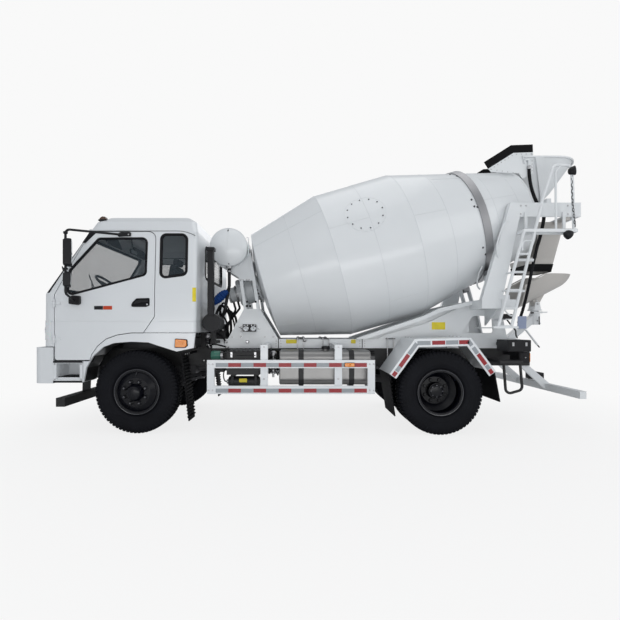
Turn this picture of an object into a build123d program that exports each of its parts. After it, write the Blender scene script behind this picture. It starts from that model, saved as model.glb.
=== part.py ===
from build123d import *
import math
import os

# Concrete mixer truck. Millimetres, +Z up, +X to the rear, the driver's side at -Y, the ground at Z 0.
# X is counted from the front axle, and every piece moves by SHIFT_X as it is written out.

# Small clearances
RUN_GAP = 0.3
PANEL_GAP = 9.0

# Wheels and axles
WHEELBASE = 3800.0
TYRE_R = 525.0
TYRE_WIDTH = 278.0
RIM_R = 270.0
RIM_LIP_R = 290.0
RIM_WIDTH = 200.0
FRONT_TYRE_Y = 980.0
REAR_OUTER_Y = 1060.0
REAR_INNER_Y = 740.0
HUB_R = 120.0
SPINDLE_R = 40.0
BRAKE_R = 205.0
WHEEL_NUTS = 8
KINGPIN_Y = 850.0
KINGPIN_R = 24.0
AXLE_Z = TYRE_R
CASING_R = 82.0
REAR_PAD = 18.0

# Chassis frame
FRAME_Y = 430.0
FRAME_LOW = 800.0
FRAME_TOP = 1045.0
FRAME_WALL = 10.0
FRAME_FLANGE = 75.0
FRAME_FRONT = -1150.0
FRAME_REAR = 5300.0
SUBFRAME_TOP = 1175.0
SUBFRAME_FRONT = 818.0
SUBFRAME_REAR = 5150.0
SUBFRAME_WIDTH = 80.0
SPRING_WIDTH = 80.0
REAR_SPRING_Y = 485.0

# Cab
CAB_HALF = 1145.0
CAB_REAR = 761.0
CAB_WALL = 45.0
CAB_BOTTOM = 1100.0
CAB_SILL = 931.0
FLOOR_Z = 1273.0
FLOOR_WALL = 30.0
FOOTWELL_Z = 960.0
TUNNEL_Y = 470.0
GRILLE_HALF = 640.0
GRILLE_Z = (1190.0, 1410.0)
GRILLE_BARS = 4
GRILLE_DEPTH = 24.0
CAB_HINGE_X = -1130.0
CAB_HINGE_Z = 1130.0
HINGE_PIN_R = 20.0
DOOR_FRONT = -995.0
DOOR_TOP = 2540.0
DOOR_REAR = 240.0
DOOR_PIN_R = 8.0

# Bumper and steps
BUMPER_FRONT = -1330.0
BUMPER_CORNER = -1255.0
BUMPER_HALF = 1140.0
BUMPER_LOW = 640.0
BUMPER_TOP = 1088.0
BUMPER_WALL = 40.0
TOW_BORE_R = 20.0
TOW_BOSS = 5.0
TOW_SOCKET_Z = 905.0
TOW_JAW_X = FRAME_REAR + 90.0
TOW_JAW_LOW = 895.0
TOW_JAW_TOP = 985.0

INTAKE_HALF = 330.0
INTAKE_Z = (705.0, 855.0)
INTAKE_BARS = 3
INTAKE_DEPTH = 20.0
FOG_LAMP_Y = (640.0, 820.0)

# Drum: the axis leans back by DRUM_TILT and s is counted along it from the front rim
DRUM_TILT = 16.0
DRUM_X = 1548.0
DRUM_Z = 1973.0
DRUM_WALL = 10.0
DRUM_FRONT_R = 782.0
DRUM_R = 1057.0
DRUM_MOUTH_R = 630.0
DRUM_BARREL_S = 1015.0
DRUM_CONE_S = 2099.0
DRUM_MOUTH_S = 3845.0
DRUM_DISH = 90.0
RING_S = 3058.0
RING_R = 850.0
RING_WIDTH = 100.0
ROLLER_R = 125.0
ROLLER_WIDTH = 90.0
ROLLER_ANGLE = 32.0
ROLLER_SHAFT_R = 28.0
ROLLER_GAP = 0.5

# Rear support, hopper and chute
POST_Y = 800.0
POST_WIDTH = 90.0
POST_FOOT = 268.0
POST_HEAD = 162.0
ARM_LOW = 2794.0
ARM_TOP = 2980.0
ARM_FRONT = 4825.0
ARM_REAR = 5751.0
ARM_WALL = 20.0
HOPPER_RIM_Z = 3740.0
HOPPER_WALL = 8.0
OUTLET_LOW = 2165.0
CHUTE_AXIS_X = 5600.0
CHUTE_RIM_Z = 2120.0
CHUTE_R = 300.0
CHUTE_WALL = 8.0
CATCH_X = 5805.0
CATCH_Z = 2210.0
CHUTE_SLOPE = 27.4
CHUTE_END_X = 5300.0
CHUTE_PIN_Z = 1690.0

# Side guard and fuel tank, which end ahead of the rear wheels
GUARD_Y = 1200.0
GUARD_FRONT = 909.0
GUARD_REAR = WHEELBASE - 819.0
TANK_REAR = WHEELBASE - 844.0
GUARD_LOW = 516.0
GUARD_TOP = 935.0
GUARD_BAR = 100.0

# Water tank
WATER_X = 1070.0
WATER_Z = 2449.0
WATER_R = 258.0
WATER_HALF = 650.0
WATER_DISH = 85.0
HOSE_Y = -500.0

# The model's ends, which centre it on its own origin
MODEL_FRONT = BUMPER_FRONT
MODEL_REAR = CATCH_X + math.sqrt(CHUTE_R ** 2 - (CATCH_Z - CHUTE_RIM_Z) ** 2)
SHIFT_X = -(MODEL_FRONT + MODEL_REAR) / 2

os.makedirs("parts", exist_ok=True)


def put(name, part):
    """Writes one sub-part, moved so that the truck's middle is at X 0."""
    export_step(Pos(SHIFT_X, 0, 0) * part, "parts/" + name + ".step")


def box(x1, x2, y1, y2, z1, z2):
    """A block between the given faces."""
    return Pos((x1 + x2) / 2, (y1 + y2) / 2, (z1 + z2) / 2) * Box(x2 - x1, y2 - y1, z2 - z1)


def outline(points):
    """A face from corners; a corner's third number is its radius."""
    face = make_face(Polyline(*[(p[0], p[1]) for p in points], close=True))
    rounded = {}
    for point in points:
        if len(point) > 2:
            rounded.setdefault(point[2], []).append(point)
    for radius, corners in rounded.items():
        near = [v for v in face.vertices()
                if any(math.hypot(v.X - c[0], v.Y - c[1]) < 0.01 for c in corners)]
        face = fillet(near, radius)
    return face


def side_plate(points, y1, y2):
    """An X,Z outline made solid from y1 to y2."""
    return extrude(Plane.XZ.offset(-y2) * outline(points), amount=y2 - y1)


def cross_plate(points, x1, x2):
    """A Y,Z outline made solid from x1 to x2."""
    return extrude(Plane.YZ.offset(x1) * outline(points), amount=x2 - x1)


def rod(start, end, radius):
    """A round bar between two points."""
    a = Vector(*start)
    b = Vector(*end)
    return extrude(Plane(a, z_dir=b - a) * Circle(radius), amount=(b - a).length)


def tube(points, radius, bend):
    """A bent tube along points, with each corner rounded."""
    path = FilletPolyline(*points, radius=bend)
    start = path.position_at(0)
    return sweep(Plane(start, z_dir=path.tangent_at(0)) * Circle(radius), path=path)


def band(points, thick, y1, y2):
    """A sheet of even thickness that follows an X,Z line, lying on the line's left."""
    line = Polyline(*points)
    wall = make_face(offset(line, thick, side=Side.LEFT, kind=Kind.INTERSECTION))
    return extrude(Plane.XZ.offset(-y2) * wall, amount=y2 - y1)


def both_sides(part):
    """A piece with its twin across the middle plane."""
    return Compound([part, mirror(part, Plane.XZ)])


def turned(profile):
    """A solid of revolution about the wheel's axle, from radius and Y corners."""
    face = make_face(Polyline(*[(r, y, 0) for r, y in profile], close=True))
    return revolve(face, Axis.Y)


def lathe(profile):
    """A solid of revolution about the drum's axis, from s and radius corners."""
    face = make_face(Polyline(*[(r, 0, s) for s, r in profile], close=True))
    return DRUM_PLACE * revolve(face, Axis.Z)


DRUM_PLACE = Pos(DRUM_X, 0, DRUM_Z) * Rot(0, 90 - DRUM_TILT, 0)
DRUM_COS = math.cos(math.radians(DRUM_TILT))
DRUM_SIN = math.sin(math.radians(DRUM_TILT))


def drum_point(s, up, y=0.0):
    """The point at s along the drum's axis and up square to it."""
    return (DRUM_X + s * DRUM_COS - up * DRUM_SIN, y, DRUM_Z + s * DRUM_SIN + up * DRUM_COS)


def cone_r(s):
    """The rear cone's outer radius at s."""
    share = (s - DRUM_CONE_S) / (DRUM_MOUTH_S - DRUM_CONE_S)
    return DRUM_R + share * (DRUM_MOUTH_R - DRUM_R)


# Tyres and wheels

def tyre():
    """A tyre about the Y axis, with its rounded shoulders and bead."""
    half = TYRE_WIDTH / 2
    tread = half - 28.0
    bead = RIM_WIDTH / 2 - 6.5
    profile = [(RIM_R, -bead), (RIM_LIP_R + 3, -bead), (RIM_R + 50, -half + 10), (RIM_R + 110, -half),
               (TYRE_R - 75, -half + 4), (TYRE_R - 18, -tread - 8), (TYRE_R, -tread + 14),
               (TYRE_R, tread - 14), (TYRE_R - 18, tread + 8), (TYRE_R - 75, half - 4),
               (RIM_R + 110, half), (RIM_R + 50, half - 10), (RIM_LIP_R + 3, bead), (RIM_R, bead)]
    return turned(profile)


def rim(disc_y, dish):
    """A rim about the Y axis whose disc meets the hub at disc_y and leans to the rim by dish."""
    half = RIM_WIDTH / 2
    lip = half + 8
    outer = [(RIM_R - 14, -half - 6), (RIM_LIP_R, -lip), (RIM_LIP_R, -lip + 12), (RIM_R - 0.5, -half + 6),
             (RIM_R - 0.5, half - 6), (RIM_LIP_R, lip - 12), (RIM_LIP_R, lip), (RIM_R - 14, half + 6)]
    disc = [(HUB_R - 10, disc_y), (HUB_R + 60, disc_y), (RIM_R - 14, disc_y - dish),
            (RIM_R - 14, disc_y - dish - 14), (HUB_R + 55, disc_y - 14), (HUB_R - 10, disc_y - 14)]
    return turned(outer) + turned(disc)


def nuts(face_y, side, ring_r):
    """The wheel nuts on a ring, standing out from face_y."""
    ring = []
    for k in range(WHEEL_NUTS):
        angle = math.radians(360 / WHEEL_NUTS * (k + 0.5))
        x = ring_r * math.cos(angle)
        z = ring_r * math.sin(angle)
        ring.append(rod((x, face_y, z), (x, face_y + side * 34, z), 17))
    return ring


def front_wheel(side):
    """Front rim, hub and brake drum on one side; side is -1 on the left."""
    face = 150.0
    hub = [(SPINDLE_R + RUN_GAP, 40), (BRAKE_R, 40), (BRAKE_R, 52), (SPINDLE_R + 60, 52),
           (SPINDLE_R + 60, face - 14),
           (HUB_R - 10, face - 14), (HUB_R - 10, face + 10), (HUB_R - 45, face + 70), (0, face + 70),
           (0, face + 55), (SPINDLE_R + RUN_GAP, face + 55)]
    drum = [(BRAKE_R, -55), (BRAKE_R + 14, -55), (BRAKE_R + 14, 52), (BRAKE_R, 52)]
    wheel = rim(face, 60) + turned(hub) + turned(drum)
    for nut in nuts(face, 1, HUB_R + 22):
        wheel += nut
    if side < 0:
        wheel = mirror(wheel, Plane.XZ)
    return Pos(0, side * FRONT_TYRE_Y, AXLE_Z) * wheel


def rear_wheel(side):
    """The twin rims bolted face to face on one hub, with the brake drum inboard."""
    middle = (REAR_OUTER_Y + REAR_INNER_Y) / 2
    outer_y = REAR_OUTER_Y - middle
    outer = Pos(0, outer_y, 0) * mirror(rim(outer_y - 14, 60), Plane.XZ)
    inner = Pos(0, -outer_y, 0) * rim(outer_y - 14, 60)
    hub = [(AXLE_TUBE_R + RUN_GAP, -170), (BRAKE_R, -170), (BRAKE_R, -150), (HUB_R - 10, -150),
           (HUB_R - 10, 60), (HUB_R - 20, 110), (0, 110), (0, 90), (AXLE_TUBE_R + RUN_GAP, 90)]
    drum = [(BRAKE_R, -300), (BRAKE_R + 14, -300), (BRAKE_R + 14, -150), (BRAKE_R, -150)]
    plate = [(HUB_R - 12, -14), (HUB_R + 40, -14), (HUB_R + 40, 14), (HUB_R - 12, 14)]
    wheel = outer + inner + turned(hub) + turned(drum) + turned(plate)
    for nut in nuts(14, 1, HUB_R + 22):
        wheel += nut
    if side < 0:
        wheel = mirror(wheel, Plane.XZ)
    return Pos(WHEELBASE, side * middle, AXLE_Z) * wheel


AXLE_TUBE_R = 50.0

for name, side in (("left", -1), ("right", 1)):
    put("tyre_front_" + name, Pos(0, side * FRONT_TYRE_Y, AXLE_Z) * tyre())
    put("wheel_front_" + name, front_wheel(side))
    twins = Compound([Pos(WHEELBASE, side * y, AXLE_Z) * tyre() for y in (REAR_OUTER_Y, REAR_INNER_Y)])
    put("tyres_rear_" + name, twins)
    put("wheel_rear_" + name, rear_wheel(side))


# Axles and springs

BEAM_LOW = AXLE_Z - 105.0
BEAM_TOP = AXLE_Z - 15.0
SPRING_PAD = FRAME_Y - FRAME_FLANGE / 2
FORK_GAP = 5.0


def front_axle():
    """The dropped I-section beam, with an eye for each kingpin."""
    middle = box(-45, 45, -520, 520, BEAM_LOW, BEAM_TOP)
    beam = middle - both_sides(box(-46, -20, -330, -0.01, BEAM_LOW + 20, BEAM_TOP - 20))
    for end in (-1, 1):
        rise = cross_plate([(end * 500, BEAM_LOW), (end * 500, BEAM_TOP),
                            (end * (KINGPIN_Y - 30), AXLE_Z + 45),
                            (end * (KINGPIN_Y - 30), AXLE_Z - 45)], -40, 40)
        eye = rod((0, end * KINGPIN_Y, AXLE_Z - 55), (0, end * KINGPIN_Y, AXLE_Z + 55), 48)
        pin_hole = rod((0, end * KINGPIN_Y, AXLE_Z - 60), (0, end * KINGPIN_Y, AXLE_Z + 60),
                       KINGPIN_R + RUN_GAP)
        beam = beam + rise + eye - pin_hole
    return beam


def knuckle(side):
    """The fork and kingpin on one side, with the spindle that carries the hub and the brake's back plate."""
    y = side * KINGPIN_Y
    pin = rod((0, y, AXLE_Z - 110), (0, y, AXLE_Z + 110), KINGPIN_R)
    ears = rod((0, y, AXLE_Z + 55 + FORK_GAP), (0, y, AXLE_Z + 105), 44)
    ears += rod((0, y, AXLE_Z - 105), (0, y, AXLE_Z - 55 - FORK_GAP), 44)
    inner = sorted((side * (KINGPIN_Y + 55), side * (KINGPIN_Y + 80)))
    body = box(-50, 50, inner[0], inner[1], AXLE_Z - 105, AXLE_Z + 105)
    for z1, z2 in ((AXLE_Z + 55 + FORK_GAP, AXLE_Z + 105), (AXLE_Z - 105, AXLE_Z - 55 - FORK_GAP)):
        arm = sorted((y, side * (KINGPIN_Y + 60)))
        ears += box(-40, 40, arm[0], arm[1], z1, z2)
    start = side * (KINGPIN_Y + 70)
    end = side * (FRONT_TYRE_Y + 150 + 54)
    spindle = rod((0, start, AXLE_Z), (0, end, AXLE_Z), SPINDLE_R)
    plate = rod((0, side * (KINGPIN_Y + 80), AXLE_Z), (0, side * (KINGPIN_Y + 74), AXLE_Z), BRAKE_R - 6)
    steer = sorted((side * (KINGPIN_Y - 60), side * (KINGPIN_Y + 60)))
    track_arm = box(45, 230, steer[0] + 30, steer[0] + 60, AXLE_Z - 105, AXLE_Z - 80) if side > 0 else \
        box(45, 230, steer[1] - 60, steer[1] - 30, AXLE_Z - 105, AXLE_Z - 80)
    link = box(30, 60, steer[0], steer[1], AXLE_Z - 105, AXLE_Z - 80)
    return pin + ears + body + spindle + plate + track_arm + link


def rear_axle():
    """The banjo housing with the round differential and a tube to each hub."""
    centre = Pos(WHEELBASE, 0, AXLE_Z)
    ball = centre * Sphere(190) & box(WHEELBASE - 200, WHEELBASE + 150, -190, 190, 300, 760)
    nose = rod((WHEELBASE - 330, 0, AXLE_Z + 20), (WHEELBASE - 120, 0, AXLE_Z + 20), 95)
    middle = (REAR_OUTER_Y + REAR_INNER_Y) / 2
    casing = rod((WHEELBASE, -middle + 182, AXLE_Z), (WHEELBASE, middle - 182, AXLE_Z), CASING_R)
    stub = rod((WHEELBASE, -middle - 85, AXLE_Z), (WHEELBASE, middle + 85, AXLE_Z), AXLE_TUBE_R)
    return ball + nose + casing + stub


def leaf_pack(eye_x1, eye_x2, seat_x, seat_z, eye_z, leaves, y):
    """A leaf spring whose bowed leaves get shorter away from the eyes' leaf, seated at seat_x."""
    leaf = 14.0
    top = ThreePointArc((eye_x1, eye_z), (seat_x, seat_z), (eye_x2, eye_z))
    pack = None
    for k in range(leaves):
        share = 0.5 - 0.42 * k / leaves
        a = top.position_at(0.5 - share)
        m = top.position_at(0.5)
        b = top.position_at(0.5 + share)
        low = -leaf * k
        line = ThreePointArc((a.X, a.Y + low), (m.X, m.Y + low), (b.X, b.Y + low))
        up = [(p.X, p.Y + low) for p in (a, m, b)]
        down = [(p.X, p.Y + low - leaf) for p in (b, m, a)]
        edges = [ThreePointArc(*up), Line(up[2], down[0]), ThreePointArc(*down), Line(down[2], up[0])]
        plate = extrude(Plane.XZ.offset(-y - SPRING_WIDTH / 2) * make_face(edges), amount=SPRING_WIDTH)
        pack = plate if pack is None else pack + plate
    for eye_x in (eye_x1, eye_x2):
        pack += rod((eye_x, y - SPRING_WIDTH / 2, eye_z), (eye_x, y + SPRING_WIDTH / 2, eye_z), 28)
    return pack


def springs():
    """Front and rear leaf springs, the hangers that hold their eyes and the clamps on the axles."""
    front_eyes = (-810.0, 810.0)
    rear_eyes = (WHEELBASE - 780.0, WHEELBASE + 780.0)
    front_y = SPRING_PAD
    pieces = leaf_pack(front_eyes[0], front_eyes[1], 0, BEAM_TOP + 84, 670, 6, front_y)
    pieces += box(-60, 60, front_y - 60, front_y + 60, BEAM_TOP, BEAM_TOP + 2)
    pieces += box(-60, 60, front_y - 60, front_y + 60, BEAM_TOP + 82, BEAM_TOP + 100)
    for bolt_x in (-48, 48):
        for bolt_y in (-52, 52):
            pieces += rod((bolt_x, front_y + bolt_y, BEAM_TOP), (bolt_x, front_y + bolt_y, BEAM_TOP + 110),
                          10)
    for eye_x in front_eyes:
        for ear in (-SPRING_WIDTH / 2 - 16, SPRING_WIDTH / 2):
            pieces += side_plate([(eye_x - 60, FRAME_LOW), (eye_x + 60, FRAME_LOW), (eye_x + 35, 630),
                                  (eye_x - 35, 630)],
                                 front_y + ear, front_y + ear + 16)
        pieces += box(eye_x - 70, eye_x + 70, front_y - 70, front_y + 70, FRAME_LOW - 16, FRAME_LOW)
    pad_top = AXLE_Z + CASING_R + REAR_PAD
    rear = leaf_pack(rear_eyes[0], rear_eyes[1], WHEELBASE, pad_top + 126, 800, 9, REAR_SPRING_Y)
    rear += box(WHEELBASE - 70, WHEELBASE + 70, REAR_SPRING_Y - 60, REAR_SPRING_Y + 60, AXLE_Z + 70,
                pad_top)
    rear += box(WHEELBASE - 70, WHEELBASE + 70, REAR_SPRING_Y - 60, REAR_SPRING_Y + 60, pad_top + 124,
                pad_top + 144)
    for bolt_x in (-58, 58):
        for bolt_y in (-52, 52):
            rear += rod((WHEELBASE + bolt_x, REAR_SPRING_Y + bolt_y, AXLE_Z + 70),
                        (WHEELBASE + bolt_x, REAR_SPRING_Y + bolt_y, pad_top + 150), 10)
    rear -= rod((WHEELBASE, 300, AXLE_Z), (WHEELBASE, 600, AXLE_Z), CASING_R)
    for eye_x in rear_eyes:
        for ear in (-SPRING_WIDTH / 2 - 14, SPRING_WIDTH / 2):
            rear += side_plate([(eye_x - 70, 940), (eye_x + 70, 940), (eye_x + 35, 760), (eye_x - 35, 760)],
                               REAR_SPRING_Y + ear, REAR_SPRING_Y + ear + 14)
        rear += box(eye_x - 75, eye_x + 75, FRAME_Y, REAR_SPRING_Y + 54, 900, 940)
    return both_sides(Compound([pieces, rear]))


put("front_axle", front_axle())
put("rear_axle", rear_axle())
put("knuckle_left", knuckle(-1))
put("knuckle_right", knuckle(1))
put("leaf_springs", springs())


# Chassis frame
EAR_INNER = 300.0
EAR_OUTER = 430.0
EAR_WALL = 15.0
CAB_REST_X = 690.0
TANK_FRONT = 1792.0
TANK_LOW = 604.0
TANK_TOP = 1041.0
TANK_OUTER = 1060.0
TANK_INNER = 560.0
TANK_STRAPS = (TANK_FRONT + 278.0, TANK_REAR - 246.0)
STRAP_WIDTH = 66.0
STRAP_THICK = 5.0
BATTERY_FRONT = 1132.0
BATTERY_REAR = 1550.0
BATTERY_LOW = 740.0
BATTERY_TOP = 1021.0


def channel(x1, x2):
    """One side rail: a channel that opens inwards."""
    rail = box(x1, x2, FRAME_Y - FRAME_FLANGE, FRAME_Y, FRAME_LOW, FRAME_TOP)
    return rail - box(x1 - 1, x2 + 1, FRAME_Y - FRAME_FLANGE - 1, FRAME_Y - FRAME_WALL,
                      FRAME_LOW + FRAME_WALL, FRAME_TOP - FRAME_WALL)


CROSS_MEMBERS = (-1090.0, 1490.0, 2400.0, WHEELBASE - 550.0, WHEELBASE + 550.0, FRAME_REAR - 60.0)


def hinge_ears():
    """Slim ears on the front of one rail with the pin that the cab tilts about."""
    foot = FRAME_TOP + RUN_GAP
    lean = [(CAB_HINGE_X + 20, foot), (CAB_HINGE_X + 120, foot),
            (CAB_HINGE_X + 26, CAB_HINGE_Z + 12),
            (CAB_HINGE_X - 26, CAB_HINGE_Z + 4)]
    ears = rod((CAB_HINGE_X, EAR_INNER, CAB_HINGE_Z), (CAB_HINGE_X, EAR_OUTER, CAB_HINGE_Z), HINGE_PIN_R)
    for y in (EAR_INNER, EAR_OUTER - EAR_WALL):
        ears += side_plate(lean, y, y + EAR_WALL)
        ears += rod((CAB_HINGE_X, y, CAB_HINGE_Z), (CAB_HINGE_X, y + EAR_WALL, CAB_HINGE_Z),
                    HINGE_PIN_R + 9)
    return ears + box(CAB_HINGE_X + 20, CAB_HINGE_X + 120, EAR_INNER, EAR_OUTER, foot, FRAME_TOP + 12)


def cab_rest():
    """The post on one rail that the cab's deck rests on."""
    foot = box(CAB_REST_X - 60, CAB_REST_X + 60, FRAME_Y - FRAME_FLANGE, FRAME_Y, FRAME_TOP + RUN_GAP,
               FRAME_TOP + 14)
    post = box(CAB_REST_X - 35, CAB_REST_X + 35, FRAME_Y - 65, FRAME_Y - 10, FRAME_TOP + 14, FLOOR_Z - 30)
    return foot + post + box(CAB_REST_X - 60, CAB_REST_X + 60, FRAME_Y - 75, FRAME_Y, FLOOR_Z - 30,
                             FLOOR_Z - RUN_GAP)


def tank_section(out):
    """The fuel tank's rounded section, drawn out by out."""
    corners = [(-TANK_OUTER - out, TANK_LOW - out, 90 + out), (-TANK_INNER + out, TANK_LOW - out, 60 + out),
               (-TANK_INNER + out, TANK_TOP + out, 60 + out), (-TANK_OUTER - out, TANK_TOP + out, 90 + out)]
    return corners


def tank_strap(x):
    """The steel band round the fuel tank over one bracket."""
    half = STRAP_WIDTH / 2
    band_outside = cross_plate(tank_section(RUN_GAP + STRAP_THICK), x - half, x + half)
    return band_outside - cross_plate(tank_section(RUN_GAP), x - half - 1, x + half + 1)


def tank_bracket(x, y_end, z_low, z_high):
    """An L-shaped bracket from the left rail out under a tank or box."""
    leg = box(x - 30, x + 30, -TANK_INNER + RUN_GAP, -FRAME_Y - RUN_GAP, z_low - 30, z_high)
    return leg + box(x - 30, x + 30, -y_end, -TANK_INNER + RUN_GAP, z_low - 30, z_low - RUN_GAP)


def tow_jaw():
    """The rear towing jaw: a plate on the last cross member and two ears with an upright bore."""
    jaw = box(FRAME_REAR - 20, FRAME_REAR - 6, -130, 130, FRAME_LOW + 40, FRAME_TOP - 40)
    for z in (TOW_JAW_LOW, TOW_JAW_TOP - 22):
        ear = outline([(FRAME_REAR - 10, -60), (TOW_JAW_X + 50, -60, 50), (TOW_JAW_X + 50, 60, 50),
                       (FRAME_REAR - 10, 60)])
        jaw += extrude(Plane.XY.offset(z) * ear, amount=22)
    return jaw - Pos(TOW_JAW_X, 0, (TOW_JAW_LOW + TOW_JAW_TOP) / 2) * Cylinder(TOW_BORE_R, 200)


def left_fittings():
    """The brackets on the left rail that carry the fuel tank, with its straps, and the battery box."""
    pieces = [tank_bracket(x, TANK_OUTER - 60, TANK_LOW, FRAME_TOP - 30) + tank_strap(x) for x in TANK_STRAPS]
    for x in (BATTERY_FRONT + 60, BATTERY_REAR - 60):
        pieces.append(tank_bracket(x, TANK_OUTER - 100, BATTERY_LOW, FRAME_TOP - 60))
    return pieces


def frame_rails():
    """Both rails, what is riveted to them, and the channel cross members between their webs."""
    pieces = []
    for piece in (channel(FRAME_FRONT, FRAME_REAR), hinge_ears(), cab_rest()):
        pieces += [piece, mirror(piece, Plane.XZ)]
    pieces += left_fittings()
    inner = FRAME_Y - FRAME_WALL - RUN_GAP
    for x in CROSS_MEMBERS:
        member = box(x - 40, x + 40, -inner, inner, FRAME_LOW + 40, FRAME_TOP - 40)
        member -= box(x - 30, x + 41, -inner - 1, inner + 1, FRAME_LOW + 50, FRAME_TOP - 50)
        if x == CROSS_MEMBERS[-1]:
            member += tow_jaw()
        pieces.append(member)
    return Compound(pieces)


def subframe():
    """The mixer's own frame: two box beams on the rails, tied by cross bars."""
    beam = box(SUBFRAME_FRONT, SUBFRAME_REAR, FRAME_Y - SUBFRAME_WIDTH, FRAME_Y, FRAME_TOP, SUBFRAME_TOP)
    frame = beam + mirror(beam, Plane.XZ)
    for x in (SUBFRAME_FRONT + 60, 1900, 2900, 3900, SUBFRAME_REAR - 60):
        frame += box(x - 40, x + 40, -FRAME_Y + 10, FRAME_Y - 10, FRAME_TOP + 20, SUBFRAME_TOP - 20)
    return frame


put("frame_rails", frame_rails())

# Engine, gearbox and propshaft
ENGINE_HALF = 330.0
engine = box(-480, 560, -ENGINE_HALF, ENGINE_HALF, 680, 1190)
engine += box(-200, 400, -FRAME_Y + FRAME_WALL, FRAME_Y - FRAME_WALL, 900, 960)
gearbox = cross_plate([(-190, 700, 40), (190, 700, 40), (150, 1040, 40), (-150, 1040, 40)], 560, 1250)
SILENCER_Y = 720.0
SILENCER_Z = 800.0
SILENCER_R = 130.0
SILENCER_X = (1150.0, 1900.0)
PIPE_R = 42.0


def exhaust():
    """The exhaust pipe under the right rail, the silencer with its two hangers and the tailpipe."""
    front, rear = SILENCER_X
    pipe = tube([(500, 250, 740), (960, 250, 740), (1060, SILENCER_Y, 740), (front + 20, SILENCER_Y, 740)],
                PIPE_R, 60)
    can = rod((front, SILENCER_Y, SILENCER_Z), (rear, SILENCER_Y, SILENCER_Z), SILENCER_R)
    can = fillet(can.edges().filter_by(GeomType.CIRCLE), 25)
    tail = tube([(rear - 20, SILENCER_Y, SILENCER_Z), (rear + 150, SILENCER_Y, SILENCER_Z),
                 (rear + 230, SILENCER_Y + 160, SILENCER_Z - 60)],
                PIPE_R, 60)
    hangers = None
    for x in (front + 120, rear - 120):
        strap = rod((x - 20, SILENCER_Y, SILENCER_Z), (x + 20, SILENCER_Y, SILENCER_Z), SILENCER_R + 5)
        strap += box(x - 20, x + 20, FRAME_Y, SILENCER_Y - 40, FRAME_TOP - 145, FRAME_TOP - 105)
        hangers = strap if hangers is None else hangers + strap
    return pipe + can + tail + hangers


put("engine", engine + gearbox + exhaust())
shaft = rod((1250, 0, 800), (WHEELBASE - 330, 0, AXLE_Z + 20), 55)
put("propshaft", shaft - engine - gearbox - rear_axle())


# Cab

def plan(front, corner, half, rear, front_r, rear_r, z):
    """A plan section of the cab at height z: bowed front, straight sides, round corners."""
    bow = ThreePointArc((corner, -half), (front, 0), (corner, half))
    sides = [Line((corner, half), (rear, half)), Line((rear, half), (rear, -half)),
             Line((rear, -half), (corner, -half))]
    face = make_face([bow] + sides)
    face = fillet([v for v in face.vertices() if abs(v.X - corner) < 0.01], front_r)
    face = fillet([v for v in face.vertices() if abs(v.X - rear) < 0.01], rear_r)
    return Plane.XY.offset(z) * face


# z, front, corner, half width, rear, front corner radius, rear corner radius
CAB_SECTIONS = (
    (880.0, -1235.0, -1145.0, CAB_HALF, CAB_REAR - 10, 110.0, 40.0),
    (1760.0, -1235.0, -1140.0, CAB_HALF, CAB_REAR, 120.0, 60.0),
    (2550.0, -700.0, -615.0, 1090.0, CAB_REAR, 140.0, 60.0),
    (2690.0, -640.0, -560.0, 1010.0, 725.0, 140.0, 60.0),
    (2765.0, -540.0, -470.0, 890.0, 620.0, 140.0, 60.0),
    (2805.0, -340.0, -290.0, 640.0, 400.0, 140.0, 60.0),
)


def cab_solid(inset):
    """The cab's lofted form, drawn in all round by inset."""
    sections = []
    for k, (z, front, corner, half, rear, front_r, rear_r) in enumerate(CAB_SECTIONS):
        height = z - inset if k > 1 else z
        if k == 0:
            height = z - 1 if inset else z
        sections.append(plan(front + inset, corner + inset, half - inset, rear - inset,
                             front_r - inset / 2, rear_r - inset / 3, height))
    return loft(sections, ruled=True)


# The lower edge of the cab and door over the wheel, from front to rear
ARCH_SEAM = ((-564.0, CAB_SILL), (-540.0, 1003.0), (-470.0, 1107.0), (-365.0, 1195.0), (-225.0, 1247.0),
             (-49.0, FLOOR_Z), (101.0, FLOOR_Z))
ARCH_OPENING = ((-640.0, 660.0), (-608.0, 832.0), (-521.0, 981.0), (-397.0, 1093.0), (-260.0, 1143.0),
                (-48.0, 1159.0), (164.0, 1151.0), (301.0, 1106.0), (519.0, 1037.0))


def below_cab():
    """What is cut away under the cab's side outline."""
    points = [(-1400, CAB_BOTTOM), (DOOR_FRONT + 60, CAB_BOTTOM), (DOOR_FRONT + 60, CAB_SILL)]
    points += list(ARCH_SEAM) + [(900, FLOOR_Z), (900, 700), (-1400, 700)]
    return side_plate(points, -1300, 1300)


DOOR_OUTLINE = [(DOOR_FRONT, CAB_SILL, 30), (-1000.0, 1740.0, 60), (-585.0, DOOR_TOP, 60),
                (DOOR_REAR, DOOR_TOP, 90),
                (DOOR_REAR, 1473.0, 60)] + [(x, z) for x, z in ARCH_SEAM[::-1]]
DOOR_WINDOW = [(-850.0, 1735.0, 60), (126.0, 2000.0, 50), (131.0, 2455.0, 60), (-470.0, 2450.0, 50),
               (-818.0, 2053.0, 60)]
QUARTER_WINDOW = [(315.0, 1957.0, 60), (636.0, 2000.0, 60), (636.0, 2505.0, 70), (315.0, 2505.0, 60)]
REAR_WINDOW = [(-620.0, 2010.0, 70), (620.0, 2010.0, 70), (620.0, 2440.0, 70), (-620.0, 2440.0, 70)]


def grown(points, amount, y1, y2):
    """A side outline drawn out by amount and made solid from y1 to y2."""
    return extrude(Plane.XZ.offset(-y2) * offset(outline(points), amount), amount=y2 - y1)


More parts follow.
